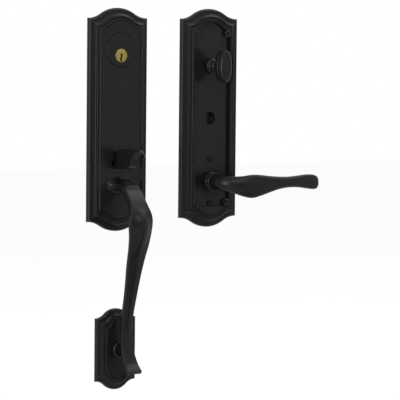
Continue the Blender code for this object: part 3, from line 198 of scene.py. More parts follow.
def smooth_path(stations, steps):
    """Values between key stations, on a curve through them that has no corners."""
    rows = [stations[0], *stations, stations[-1]]
    result = []
    for k in range(1, len(rows) - 2):
        before, start, end, after = rows[k - 1:k + 3]
        for i in range(steps):
            t = i / steps
            row = []
            for a, b, c, d in zip(before, start, end, after):
                bend = (2 * a - 5 * b + 4 * c - d) * t * t + (3 * b - a - 3 * c + d) * t ** 3
                row.append(0.5 * (2 * b + (c - a) * t + bend))
            result.append(row)
    result.append(list(stations[-1]))
    return result


# Mesh helpers

def ring(bm, outline, height):
    return [bm.verts.new(at(x, height, z)) for x, z in outline]


def bridge(bm, first, second):
    for i in range(len(first)):
        j = (i + 1) % len(first)
        bm.faces.new((first[i], first[j], second[j], second[i]))


def fill(bm, outer, holes=()):
    """A flat face between an outer ring of vertices and any rings inside it."""
    edges = []
    for loop in (outer, *holes):
        for i, vert in enumerate(loop):
            following = loop[(i + 1) % len(loop)]
            edges.append(bm.edges.get((vert, following)) or bm.edges.new((vert, following)))
    bmesh.ops.triangle_fill(bm, use_beauty=True, edges=edges)


def skin(bm, rings, capped=True):
    """Walls from ring to ring, with a face on each end."""
    for first, second in zip(rings, rings[1:]):
        bridge(bm, first, second)
    if capped:
        bm.faces.new(rings[0])
        bm.faces.new(rings[-1])


def chain(bm, steps):
    """Walls through a list of (outline, height), giving the first and the last ring."""
    rings = [ring(bm, outline, height) for outline, height in steps]
    skin(bm, rings, capped=False)
    return rings[0], rings[-1]


def prism(outline, top, bottom, holes=()):
    """A flat piece of one outline between two heights, with holes of one outline each."""
    bm = bmesh.new()
    outer = chain(bm, [(outline, top), (outline, bottom)])
    inner = [chain(bm, [(hole, top), (hole, bottom)]) for hole in holes]
    fill(bm, outer[0], [pair[0] for pair in inner])
    fill(bm, outer[1], [pair[1] for pair in inner])
    return bm


def turned(profile, centre, axis="out", count=ROUND, hollow=False):
    """A turned piece from (radius, distance) pairs along an axis through the centre."""
    directions = {
        "out": (Vector((0, -1, 0)), Vector((1, 0, 0)), Vector((0, 0, 1))),
        "across": (Vector((1, 0, 0)), Vector((0, 1, 0)), Vector((0, 0, 1))),
        "up": (Vector((0, 0, 1)), Vector((1, 0, 0)), Vector((0, 1, 0))),
    }
    along, side, other = directions[axis]
    bm = bmesh.new()
    rings = []
    for radius, distance in profile:
        loop = []
        for i in range(count):
            angle = 2 * math.pi * i / count
            offset = side * math.cos(angle) + other * math.sin(angle)
            loop.append(bm.verts.new(centre + (along * distance + offset * radius) * MM))
        rings.append(loop)
    skin(bm, rings, capped=not hollow)
    if hollow:
        bridge(bm, rings[-1], rings[0])
    return bm


def extruded_across(outline, half_width, x=0.0, edge=0.0):
    """A piece of one side outline of (height, z) points, its two faces' edges eased."""
    bm = bmesh.new()
    steps = [(-half_width, edge), (-half_width + edge, 0.0), (half_width - edge, 0.0),
             (half_width, edge)]
    if not edge:
        steps = [(-half_width, 0.0), (half_width, 0.0)]
    rings = []
    count = len(outline)
    for offset, inward in steps:
        loop = []
        for i, (h, z) in enumerate(outline):
            run = Vector(outline[(i + 1) % count]) - Vector(outline[i - 1])
            normal = Vector((-run.y, run.x)).normalized() * inward
            loop.append(bm.verts.new(at(x + offset, h + normal.x, z + normal.y)))
        rings.append(loop)
    skin(bm, rings)
    return bm


def threads(radius, depth, pitch, start, end):
    """A turned profile of thread crests between two distances, as (radius, distance) pairs."""
    turns = max(2, int(abs(end - start) / pitch))
    step = (end - start) / turns
    profile = []
    for i in range(turns):
        profile.append((radius - depth, start + step * i))
        profile.append((radius, start + step * (i + 0.5)))
    profile.append((radius - depth, end))
    return profile


def place(name, bm, finish, body, nodes, sharp=30.0, level=True):
    """A finished piece on its body: closed, smooth where it is round, and in a node's place."""
    bmesh.ops.recalc_face_normals(bm, faces=bm.faces)
    mesh = bpy.data.meshes.new(name)
    bm.to_mesh(mesh)
    bm.free()
    mesh.shade_smooth()
    mesh.set_sharp_from_angle(angle=math.radians(sharp))
    piece = bpy.data.objects.new(name, mesh)
    bpy.context.collection.objects.link(piece)
    mesh.materials.append(finish())
    if level:
        evened = piece.modifiers.new("even_shading", "WEIGHTED_NORMAL")
        evened.keep_sharp = True
    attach(piece, body)
    if nodes:
        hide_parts(*nodes)
    return piece


def shaped(bm):
    """A loose object for a shape that another piece is joined to or cut by."""
    bmesh.ops.recalc_face_normals(bm, faces=bm.faces)
    mesh = bpy.data.meshes.new("shape")
    bm.to_mesh(mesh)
    bm.free()
    item = bpy.data.objects.new("shape", mesh)
    bpy.context.collection.objects.link(item)
    return item


def worked(bm, cut, joined=()):
    """The bmesh left when other shapes are joined to it, and then others are cut from it."""
    base = shaped(bm)
    tools = [shaped(item) for item in (*joined, *cut)]
    for i, tool in enumerate(tools):
        modifier = base.modifiers.new("work", "BOOLEAN")
        modifier.operation = "UNION" if i < len(joined) else "DIFFERENCE"
        modifier.object = tool
    graph = bpy.context.evaluated_depsgraph_get()
    result = bmesh.new()
    result.from_mesh(base.evaluated_get(graph).to_mesh())
    for item in (base, *tools):
        mesh = item.data
        bpy.data.objects.remove(item, do_unlink=True)
        bpy.data.meshes.remove(mesh)
    return result


# Shader groups

def add_node(tree, kind, inputs=None, **settings):
    """A shader node with its settings, and a link or a value on each input that is named."""
    node = tree.nodes.new("ShaderNode" + kind)
    for name, value in settings.items():
        setattr(node, name, value)
    for socket, value in (inputs or {}).items():
        if isinstance(value, bpy.types.NodeSocket):
            tree.links.new(value, node.inputs[socket])
        else:
            node.inputs[socket].default_value = value
    return node


def make_group(name, inputs, outputs):
    """An empty shader group with its sockets: the group, its input values and its end node."""
    group = bpy.data.node_groups.new(name, "ShaderNodeTree")
    for label, kind, value in inputs:
        socket = group.interface.new_socket(label, in_out="INPUT", socket_type=kind)
        socket.default_value = value
    for label, kind in outputs:
        group.interface.new_socket(label, in_out="OUTPUT", socket_type=kind)
    return group, group.nodes.new("NodeGroupInput").outputs, group.nodes.new("NodeGroupOutput")


def film_group():
    """A thin uneven film: it drifts between two colours and two degrees of polish."""
    if "Uneven film" in bpy.data.node_groups:
        return bpy.data.node_groups["Uneven film"]
    group, given, end = make_group("Uneven film", [
        ("Light Tone", "NodeSocketColor", (0.02, 0.02, 0.02, 1.0)),
        ("Dark Tone", "NodeSocketColor", (0.01, 0.01, 0.01, 1.0)),
        ("Polish Low", "NodeSocketFloat", 0.2),
        ("Polish High", "NodeSocketFloat", 0.3),
        ("Scale", "NodeSocketFloat", 40.0),
    ], [("Color", "NodeSocketColor"), ("Roughness", "NodeSocketFloat")])
    place_in = add_node(group, "TexCoord").outputs["Object"]
    noise = add_node(group, "TexNoise", {
        "Vector": place_in, "Scale": given["Scale"], "Detail": 4.0, "Roughness": 0.55})
    spread = add_node(group, "MapRange", {
        "Value": noise.outputs["Fac"], "From Min": 0.3, "From Max": 0.7}).outputs["Result"]
    tone = add_node(group, "Mix", {
        "Factor": spread, "A": given["Dark Tone"], "B": given["Light Tone"]}, data_type="RGBA")
    polish = add_node(group, "MapRange", {
        "Value": spread, "To Min": given["Polish Low"], "To Max": given["Polish High"]})
    group.links.new(tone.outputs["Result"], end.inputs["Color"])
    group.links.new(polish.outputs["Result"], end.inputs["Roughness"])
    return group


def grain_group():
    """Fine casting or brushing grain, as a height for a bump."""
    if "Fine grain" in bpy.data.node_groups:
        return bpy.data.node_groups["Fine grain"]
    group, given, end = make_group("Fine grain", [
        ("Scale", "NodeSocketFloat", 900.0),
        ("Stretch", "NodeSocketVector", (1.0, 1.0, 1.0)),
    ], [("Height", "NodeSocketFloat")])
    place_in = add_node(group, "TexCoord").outputs["Object"]
    stretch = add_node(group, "VectorMath", {0: place_in, 1: given["Stretch"]},
                       operation="MULTIPLY")
    noise = add_node(group, "TexNoise", {
        "Vector": stretch.outputs["Vector"], "Scale": given["Scale"], "Detail": 3.0})
    group.links.new(noise.outputs["Fac"], end.inputs["Height"])
    return group


def edge_rub_and_highlight_group():
    """A mask of the edges that hands rub and that carry a painted highlight, broken up so that it
    doesn't look drawn.
    """
    if "Rubbed and highlighted edges" in bpy.data.node_groups:
        return bpy.data.node_groups["Rubbed and highlighted edges"]
    group, given, end = make_group("Rubbed and highlighted edges", [
        ("Amount", "NodeSocketFloat", 0.3),
        ("Break Up", "NodeSocketFloat", 250.0),
    ], [("Mask", "NodeSocketFloat")])
    # Sharp edges by pointiness: where they are rubbed, and where a highlight is painted on them.
    edge = add_node(group, "MapRange", {
        "Value": add_node(group, "NewGeometry").outputs["Pointiness"],
        "From Min": 0.54, "From Max": 0.66})
    noise = add_node(group, "TexNoise", {
        "Vector": add_node(group, "TexCoord").outputs["Object"], "Scale": given["Break Up"]})
    both = add_node(group, "Math", {0: edge.outputs["Result"], 1: noise.outputs["Fac"]},
                    operation="MULTIPLY")
    amount = add_node(group, "Math", {0: both.outputs["Value"], 1: given["Amount"]},
                      operation="MULTIPLY", use_clamp=True)
    group.links.new(amount.outputs["Value"], end.inputs["Mask"])
    return group


# Finishes

def coat(name, light, dark, polish, scale, rub_and_highlight_tone, rub_and_highlight_amount, grain_scale, grain_depth,
         grain_stretch=(1.0, 1.0, 1.0), metallic=1.0, gloss=0.5):
    """A metal or painted finish from the three shader groups."""
    if name in bpy.data.materials:
        return bpy.data.materials[name]
    material = bpy.data.materials.new(name)
    material.use_nodes = True
    tree = material.node_tree
    shader = tree.nodes["Principled BSDF"]
    shader.inputs["Metallic"].default_value = metallic
    shader.inputs["Specular IOR Level"].default_value = gloss
    film = add_node(tree, "Group", {
        "Light Tone": (*light, 1.0), "Dark Tone": (*dark, 1.0),
        "Polish Low": polish[0], "Polish High": polish[1], "Scale": scale,
    }, node_tree=film_group())
    edges = add_node(tree, "Group", {"Amount": rub_and_highlight_amount}, node_tree=edge_rub_and_highlight_group())
    # The edge tone mixed in here is rubbed wear and also a painted highlight along the edges.
    blend = add_node(tree, "Mix", {
        "Factor": edges.outputs["Mask"], "A": film.outputs["Color"], "B": (*rub_and_highlight_tone, 1.0),
    }, data_type="RGBA")
    grain = add_node(tree, "Group", {"Scale": grain_scale, "Stretch": grain_stretch},
                     node_tree=grain_group())
    bump = add_node(tree, "Bump", {
        "Height": grain.outputs["Height"], "Strength": 1.0, "Distance": grain_depth})
    tree.links.new(blend.outputs["Result"], shader.inputs["Base Color"])
    tree.links.new(film.outputs["Roughness"], shader.inputs["Roughness"])
    tree.links.new(bump.outputs["Normal"], shader.inputs["Normal"])
    return material


def dark_bronze():
    colours = bpy.context.scene.handleset.finish
    # Its sharp edges are painted lighter, partly as rubbed wear and partly as a painted highlight.
    return coat(
        "dark_bronze_finish", colours.bronze_light, colours.bronze_dark,
        (colours.bronze_polish, colours.bronze_polish + 0.07), 55.0, colours.bronze_rub_and_highlight, 0.35,
        1400.0, 0.000004, metallic=0.0, gloss=0.145)


def brass():
    tone = bpy.context.scene.handleset.finish.brass
    dull = tuple(0.82 * value for value in tone)
    return coat("brushed_brass", tone, dull, (0.3, 0.42), 260.0, (0.6, 0.5, 0.25), 0.3,
                1800.0, 0.00001, (1.0, 1.0, 0.15))


def zinc():
    return coat("bright_zinc", (0.5, 0.5, 0.49), (0.4, 0.4, 0.385), (0.3, 0.42), 120.0,
                (0.62, 0.62, 0.6), 0.4, 1100.0, 0.000008)


def black_steel():
    return coat("black_oxide_steel", (0.016, 0.016, 0.016), (0.01, 0.01, 0.01), (0.42, 0.5),
                150.0, (0.06, 0.06, 0.06), 0.3, 1300.0, 0.000006)


def spring_wire():
    return coat("spring_steel_wire", (0.2, 0.2, 0.21), (0.14, 0.14, 0.15), (0.3, 0.4), 200.0,
                (0.35, 0.35, 0.36), 0.4, 1500.0, 0.000006)


# Settings

def length(name, description, default):
    return bpy.props.FloatProperty(
        name=name, description=description, default=default, unit="LENGTH", precision=5,
    )


def colour(name, description, default):
    return bpy.props.FloatVectorProperty(
        name=name, description=description, default=default, size=3, subtype="COLOR",
        min=0.0, max=1.0,
    )


class EscutcheonSettings(bpy.types.PropertyGroup):
    width: length("Width", "Width of the two tall plates", 0.0762)
    straight: length("Corner height", "Height between a tall plate's corners", 0.2192)
    rise: length("Arch rise", "How far the arch stands above the corners", 0.0110)
    arch: length("Arch radius", "Radius of the arch at the middle of each end", 0.040)
    panel: length("Panel height", "How far the flat panel stands out of the door", 0.0099)
    wall: length("Panel thickness", "Metal behind the flat panel", 0.0033)
    rim: length("Rim width", "Width of the rim that lies on the door", 0.0070)
    lower_width: length("Lower width", "Width of the plate under the grip", 0.0515)
    lower_straight: length("Lower corner height", "Height between its corners", 0.0687)
    lower_rise: length("Lower arch rise", "How far its arch stands above the corners", 0.0099)
    lower_arch: length("Lower arch radius", "Radius of its arch", 0.021)
    lower_panel: length("Lower panel height", "How far its panel stands out", 0.0087)
    lower_rim: length("Lower rim width", "Width of the rim that lies on the door", 0.0062)
    lower_scale: bpy.props.FloatProperty(
        name="Lower moulding scale",
        description="Moulding of the lower plate against the tall ones", default=0.88,
        subtype="FACTOR", min=0.1, max=2.0,
    )


class CylinderSettings(bpy.types.PropertyGroup):
    head: length("Head radius", "Radius of the cylinder's flush head", 0.0186)
    head_depth: length("Head depth", "Depth of the flush head", 0.004)
    body: length("Body radius", "Radius over the threads behind the plate", 0.0146)
    plug: length("Plug head radius", "Radius of the plug's face", 0.0075)
    core: length("Plug radius", "Radius of the plug behind its face", 0.0064)
    keyway: length("Keyway width", "Width of the slot for the key", 0.0020)


class TurnSettings(bpy.types.PropertyGroup):
    half_width: length("Half width", "Half the width of the oval", 0.008)
    half_height: length("Half height", "Half the height of the oval", 0.018)
    back: length("Back", "Distance of the oval's back from the door", 0.0226)
    depth: length("Depth", "Depth of the oval", 0.0144)
    stem: length("Stem radius", "Radius of the stem in the plate", 0.0045)


class FinishSettings(bpy.types.PropertyGroup):
    bronze_light: colour("Bronze light", "Lighter tone of the finish", (0.0080, 0.0078, 0.0071))
    bronze_dark: colour("Bronze dark", "Darker tone of the finish", (0.0064, 0.0063, 0.0057))
    # The edge tone is partly rubbed wear and partly a painted highlight along the edges.
    bronze_rub_and_highlight: colour("Bronze rub and highlight", "Tone where edges are rubbed and given a painted highlight", (0.030, 0.027, 0.023))
    bronze_polish: bpy.props.FloatProperty(
        name="Bronze roughness", description="Lowest roughness of the dark finish",
        default=0.24, subtype="FACTOR", min=0.0, max=1.0,
    )
    brass: colour("Brass", "Tone of the plug's face", (0.30, 0.245, 0.075))


class StudioSettings(bpy.types.PropertyGroup):
    camera_yaw: bpy.props.FloatProperty(
        name="Camera yaw", description="How far the view is turned to the door's right",
        default=math.radians(36.51), subtype="ANGLE",
    )
    camera_pitch: bpy.props.FloatProperty(
        name="Camera pitch", description="How far the view looks down",
        default=math.radians(3.86), subtype="ANGLE",
    )
    camera_roll: bpy.props.FloatProperty(
        name="Camera roll", description="How far the view leans",
        default=math.radians(0.56), subtype="ANGLE",
    )
    camera_distance: length("Camera distance", "From the camera to its target", 3.0)
    target_x: length("Target across", "Where the camera looks, across the door", 0.11473)
    target_z: length("Target up", "Where the camera looks, up the door", -0.09084)
    focal: bpy.props.FloatProperty(
        name="Focal length", description="Focal length on a 36 mm sensor, in millimetres",
        default=243.55, min=10.0,
    )
    floor_drop: length("Floor drop", "Gap between the set's foot and the floor", 0.03)


class HandlesetSettings(bpy.types.PropertyGroup):
    plates: bpy.props.PointerProperty(type=EscutcheonSettings)
    cylinder: bpy.props.PointerProperty(type=CylinderSettings)
    turn: bpy.props.PointerProperty(type=TurnSettings)
    finish: bpy.props.PointerProperty(type=FinishSettings)
    studio: bpy.props.PointerProperty(type=StudioSettings)


# Plates

def ogee(width, straight, rise, arch, centre, inset=0.0, hollow_steps=9, arch_steps=20):
    """A plate's outline, an arch between two hollows at each end, or the same drawn narrower."""
    outer_half = width / 2
    share = arch * math.sin(2 * math.atan(rise / outer_half)) / outer_half
    half = outer_half - inset
    corner_z = straight / 2 - 0.94 * inset
    inner_rise = rise - 0.12 * inset
    sweep = 2 * math.atan(inner_rise / half)
    convex = share * half / math.sin(sweep)
    concave = half / math.sin(sweep) - convex
    arch_z = corner_z + inner_rise - convex
    right = []
    for i in range(hollow_steps + 1):
        angle = sweep * i / hollow_steps
        x = half - concave * math.sin(angle)
        right.append((x, corner_z + concave * (1 - math.cos(angle))))
    for i in range(1, arch_steps // 2):
        angle = sweep * (1 - 2 * i / arch_steps)
        right.append((convex * math.sin(angle), arch_z + convex * math.cos(angle)))
    top = right + [(0.0, arch_z + convex)] + [(-x, z) for x, z in reversed(right)]
    return [(centre[0] + x, centre[1] + z) for x, z in top + [(-x, -z) for x, z in top]]


def moulding(scale, panel):
    """The edge's section from the back to the panel: bead, cove, fillet and groove."""
    bead = arc((2.8, 3.0), 2.8, 180, 86, 10)
    cove = arc((3.3, 11.4), 6.0, -90, -44, 10)
    step, shelf = cove[-1]
    crest = shelf + 2.45
    fillet = [(step + 0.1, crest - 0.4), (step + 0.4, crest), (step + 1.4, crest)]
    groove = arc((step + 3.25, crest + 0.05), 1.85, 200, 340, 10)
    section = [(0.35, 0.0), (0.0, 0.35)] + bead + cove + fillet + groove
    scaled = [(inset * scale, height * scale) for inset, height in section]
    edge = scaled[-1][0] + 0.35
    return softened(scaled + [(edge, panel)], 0.3) + [(edge + 0.8, panel)]


class PlateShape:
    """A moulded plate with a hollow back, and the holes and bosses that are let into it."""

    def __init__(self, shape, centre, section, rim, panel, wall):
        self.bm = bmesh.new()
        self.panel, self.floor = panel, panel - wall
        self.front, self.back = [], []
        outer = [(ogee(*shape, centre, inset), height) for inset, height in section]
        back_edge, self.face = chain(self.bm, outer)
        hollow = ogee(*shape, centre, rim)
        pocket = [(hollow, 0.0), (hollow, self.floor - 0.8),
                  (ogee(*shape, centre, rim + 0.8), self.floor)]
        pocket_edge, self.pocket = chain(self.bm, pocket)
        bridge(self.bm, back_edge, pocket_edge)

    def through(self, steps):
        """A hole from the panel to the hollow, through a list of (outline, height)."""
        first, last = chain(self.bm, steps)
        self.front.append(first)
        self.back.append(last)

    def round_through(self, x, z, profile, count=SMALL_ROUND):
        """A round hole through the plate, from (radius, height) pairs."""
        self.through([(circle(x, z, radius, count), height) for radius, height in profile])

    def round_blind(self, x, z, profile, count=SMALL_ROUND):
        """A round boss or a blind hole in the hollow, from (radius, height) pairs."""
        first, last = chain(self.bm, [(circle(x, z, r, count), height) for r, height in profile])
        self.bm.faces.new(last)
        self.back.append(first)

    def bolt_seat(self, z):
        """The hole and the boss for one of the grip's bolts."""
        self.round_through(0, z, [
            (2.9, self.panel), (2.9, 1.5), (7.6, 1.5), (8.0, 1.9), (8.0, self.floor)])

    def middle_pad(self, x):
        """The round pad behind the plate's middle, which lies on the door."""
        self.round_blind(x, 0, [(7.0, self.floor), (7.0, 0.3), (6.7, 0.0)], ROUND)

    def done(self):
        fill(self.bm, self.face, self.front)
        fill(self.bm, self.pocket, self.back)
        return self.bm


def tall_plate(centre):
    sizes = bpy.context.scene.handleset.plates
    shape = [millimetres(v) for v in (sizes.width, sizes.straight, sizes.rise, sizes.arch)]
    panel = millimetres(sizes.panel)
    return PlateShape(shape, centre, moulding(1.0, panel), millimetres(sizes.rim), panel,
                      millimetres(sizes.wall))


def corner_places(inside_x):
    x, z = centre_of("upper_right_screw")
    return [(i * (x - inside_x), j * z) for i in (-1, 1) for j in (-1, 1)]


def slot_outline(edge=0.0):
    """The thumb latch's slot, flared near its foot."""
    half, foot = 8.2 + edge, 7.1 + edge
    flare, shoulder = half + FLARE_WIDTH, FLARE_FOOT - 1.2 - edge
    right = [
        (half, SLOT_TOP + edge), (half, FLARE_TOP), (flare, FLARE_FOOT), (flare, shoulder),
        (foot, shoulder), (foot, SLOT_FOOT - edge),
    ]
    return right + [(-x, z) for x, z in reversed(right)]


class HANDLESET_OT_outside_plate(bpy.types.Operator):
    """The outside plate, with its seat for the cylinder and the slot of the thumb latch"""
    bl_idname = "handleset.outside_plate"
    bl_label = "Outside plate"

    def execute(self, context):
        plate = tall_plate((0.0, 0.0))
        top, floor = plate.panel, plate.floor
        z = centre_of("cylinder_shell")[1]
        head = reach_of("cylinder_shell") + TOUCH
        head_depth = millimetres(context.scene.handleset.cylinder.head_depth)
        seat = span("cylinder_shell")[1][1] - head_depth - TOUCH

        post = span("upper_right_post")
        post_x, post_z = centre_of("upper_right_post")
        body, boss = 15.0, math.hypot(post_x, post_z - z) - POST_BOSS_RADIUS - BOSS_GAP
        plate.round_through(0.0, z, [
            (head + 0.3, top), (head, top - 0.3), (head, seat), (body, seat),
            (body, seat - 4.0), (boss - 0.6, seat - 4.0), (boss, seat - 3.4), (boss, floor),
        ], 96)
        plate.through([(slot_outline(0.25), top), (slot_outline(), top - 0.25),
                       (slot_outline(), floor)])
        plate.bolt_seat(middle(span("grip_top_bolt")[2]))
        for corner in CORNERS:
            plate.round_blind(*centre_of(corner + "_post"), [
                (POST_BOSS_RADIUS, floor), (POST_BOSS_RADIUS, 2.4),
                (POST_BOSS_RADIUS - 0.4, 2.0), (2.05, 2.0), (2.05, 7.6)])
        for side in SIDES:
            plate.round_blind(*centre_of(side + "_bracket_screw"),
                              [(1.7, floor), (1.7, floor + 1.8)], 24)
        plate.middle_pad(0)
        place("outside_escutcheon", plate.done(), dark_bronze, "trim", ["exterior_plate"],
              sharp=28.0)
        return {"FINISHED"}


class HANDLESET_OT_inside_plate(bpy.types.Operator):
    """The inside plate, with its four screw holes and the holes of the turn piece and lever"""
    bl_idname = "handleset.inside_plate"
    bl_label = "Inside plate"

    def execute(self, context):
        x0, _, lever_z = joint_point("lever_turn")
        _, _, turn_z = joint_point("turn_piece")
        plate = tall_plate((x0, 0.0))
        top, floor = plate.panel, plate.floor
        for z, radius in ((turn_z, 4.9), (lever_z, 8.4)):
            plate.round_through(x0, z, [(radius, top), (radius, floor)], ROUND)
        for x, z in corner_places(x0):
            plate.round_through(x0 + x, z, [
                (4.35, top), (4.2, top - 0.15), (2.4, top - 1.9), (2.4, floor)])
        for node in ("upper_housing_screw", "lower_housing_screw"):
            plate.round_blind(x0, centre_of(node)[1], [
                (3.5, floor), (3.5, floor - 1.0), (3.2, floor - 1.3), (1.6, floor - 1.3),
                (1.6, floor + 1.7)], 32)
        plate.middle_pad(x0)
        place("inside_escutcheon", plate.done(), dark_bronze, "trim", ["interior_plate"],
              sharp=28.0)
        return {"FINISHED"}


class HANDLESET_OT_lower_plate(bpy.types.Operator):
    """The small moulded plate that carries the foot of the grip"""
    bl_idname = "handleset.lower_plate"
    bl_label = "Lower plate"

    def execute(self, context):
        sizes = context.scene.handleset.plates
        shape = [millimetres(v) for v in (
            sizes.lower_width, sizes.lower_straight, sizes.lower_rise, sizes.lower_arch)]
        panel = millimetres(sizes.lower_panel)
        z = middle(span("lower_plate")[2])
        plate = PlateShape(shape, (0.0, z), moulding(sizes.lower_scale, panel),
                           millimetres(sizes.lower_rim), panel, millimetres(sizes.wall))
        plate.bolt_seat(z)
        place("lower_escutcheon", plate.done(), dark_bronze, "trim", ["lower_plate"], sharp=28.0)
        return {"FINISHED"}


# Small screws

def cross_screw(name, node, body, centre, thread, head, recess, count):
    """A screw put in from behind: thread, head profile from its outer end, cross recess."""
    low, high = span(node)[1]
    radius, depth, pitch, neck = thread
    profile = threads(radius, depth, pitch, high, low + neck)
    profile += [(wide, low + rise) for wide, rise in head]
    screw = turned(profile, at(centre[0], 0, centre[1]), count=count)
    reach, half, sunk = recess
    cut = prism(cross(*centre, reach, half), low + sunk, low - 0.5)
    place(name, worked(screw, [cut]), zinc, body, [node])


# Key cylinder

def keyway_outline(x, z, half):
    """The warded slot, from a little above the plug's centre down to its edge."""
    line = smooth_path([(-0.4, 2.3), (0.7, -0.2), (-0.8, -2.8), (0.1, -6.7)], 1)
    left = [(x + a - half, z + b) for a, b in line]
    right = [(x + a + half, z + b) for a, b in line]
    return softened(left + right[::-1], 0.3, closed=True)


class HANDLESET_OT_cylinder(bpy.types.Operator):
    """The threaded cylinder, its brass plug, and the cam and screws behind it"""
    bl_idname = "handleset.cylinder"
    bl_label = "Key cylinder"

    def execute(self, context):
        sizes = context.scene.handleset.cylinder
        z = centre_of("cylinder_shell")[1]
        back, front = span("cylinder_shell")[1]
        head, body = millimetres(sizes.head), millimetres(sizes.body)
        plug, core = millimetres(sizes.plug), millimetres(sizes.core)
        seat = front - millimetres(sizes.head_depth)
        _, _, plug_z = joint_point("key_turn")

        profile = [(head - 0.7, front), (head - 0.35, front - 0.08), (head - 0.08, front - 0.35),
                   (head, front - 0.7), (head, seat), (body - 0.6, seat), (body - 0.6, seat - 1.6)]
        profile += threads(body, 0.45, 0.8, seat - 1.7, back + 1.2)
        profile += [(body - 0.6, back)]
        shell = turned(profile, at(0, 0, z), count=96)
        core_place = at(0, 0, plug_z)
        bore = turned([
            (plug + 0.55, front + 0.5), (plug + 0.55, front), (plug + 0.3, front - 0.25),
            (plug + 0.3, front - 1.9), (core + 0.3, front - 1.9), (core + 0.3, back - 1),
        ], core_place, count=72)
        place("mortise_cylinder", worked(shell, [bore]), dark_bronze, "trim", ["cylinder_shell"])

        face = span("key_plug")[1][1]
        profile = [(plug - 0.55, face), (plug - 0.2, face - 0.12), (plug, face - 0.45),
                   (plug, front - 1.6), (core, front - 1.6), (core, back)]
        rotor = turned(profile, core_place, count=72)
        half_key = millimetres(sizes.keyway) / 2
        cuts = [
            prism(keyway_outline(0, plug_z, half_key), face + 1, back + 8),
            prism(keyway_outline(0, plug_z, half_key + 0.18), face + 1, face - 0.18),
        ]
        for x in (-TAIL_SCREW_X, TAIL_SCREW_X):
            cuts.append(turned([(1.4, back + 6), (1.4, back - 1)], at(x, 0, plug_z), count=24))
        place("plug_with_keyway", worked(rotor, cuts), brass, "key_plug", ["key_plug"],
              level=False)

        wide, narrow, length_out = 8.5, 4.0, 11.0
        lean = math.degrees(math.asin((wide - narrow) / length_out))
        outline = arc((0, plug_z + length_out), narrow, lean, 180 - lean, 16)
        outline += arc((0, plug_z), wide, 180 - lean, 360 + lean, 48)
        bottom, top = span("cylinder_cam")[1]
        holes = [circle(x, plug_z, 1.4, 24) for x in (-TAIL_SCREW_X, TAIL_SCREW_X)]
        cam = prism(outline, top, bottom, holes)
        place("tail_cam", cam, brass, "key_plug", ["cylinder_cam"])
        for side in SIDES:
            node = side + "_cam_screw"
            cross_screw(
                side + "_tail_screw", node, "key_plug", (centre_of(node)[0], plug_z),
                (1.1, 0.2, 0.5, 1.5), [(1.1, 1.2), (2.1, 1.2), (2.1, 0.5), (1.5, 0.0)],
                (1.1, 0.25, 0.7), 32)
        return {"FINISHED"}


# Thumb latch

def pad_shape():
    """The crowned pad: each section arches across, and the tip rolls over."""
    bm = bmesh.new()
    stations = [
        (11.5, -32.0, 4.6, 0.6, 2.2),
        (16.0, -31.4, 5.2, 1.2, 2.2),
        (22.0, -31.0, 6.0, 2.2, 2.3),
        (30.0, -30.9, 6.9, 4.4, 2.6),
        (38.0, -30.6, 7.4, 5.8, 2.9),
        (44.0, -30.5, 7.4, 6.6, 3.3),
        (47.5, -31.2, 6.5, 6.0, 3.6),
        (49.5, -32.9, 4.7, 4.2, 3.0),
        (50.3, -34.4, 2.5, 1.6, 1.6),
    ]
    rings = []
    for height, crown, half, drop, thickness in smooth_path(stations, 8):
        section = []
        for i in range(-8, 9):
            share = i / 8
            section.append((half * share, crown - drop * share * share))
        for i in range(8, -9, -1):
            share = i / 8
            lift = 0.35 * thickness * max(0.0, abs(share) - 0.75) * 4
            low = crown - drop * share * share - thickness + lift
            section.append(((half - 0.2 * thickness) * share, low))
        rings.append([bm.verts.new(at(x, height, z)) for x, z in section])
    skin(bm, rings)
    return bm


def pivot_bore(centre):
    """The hole for the pivot pin, through all that it carries."""
    return turned([(PIVOT_HOLE, -12.0), (PIVOT_HOLE, 12.0)], centre, "across", SMALL_ROUND)


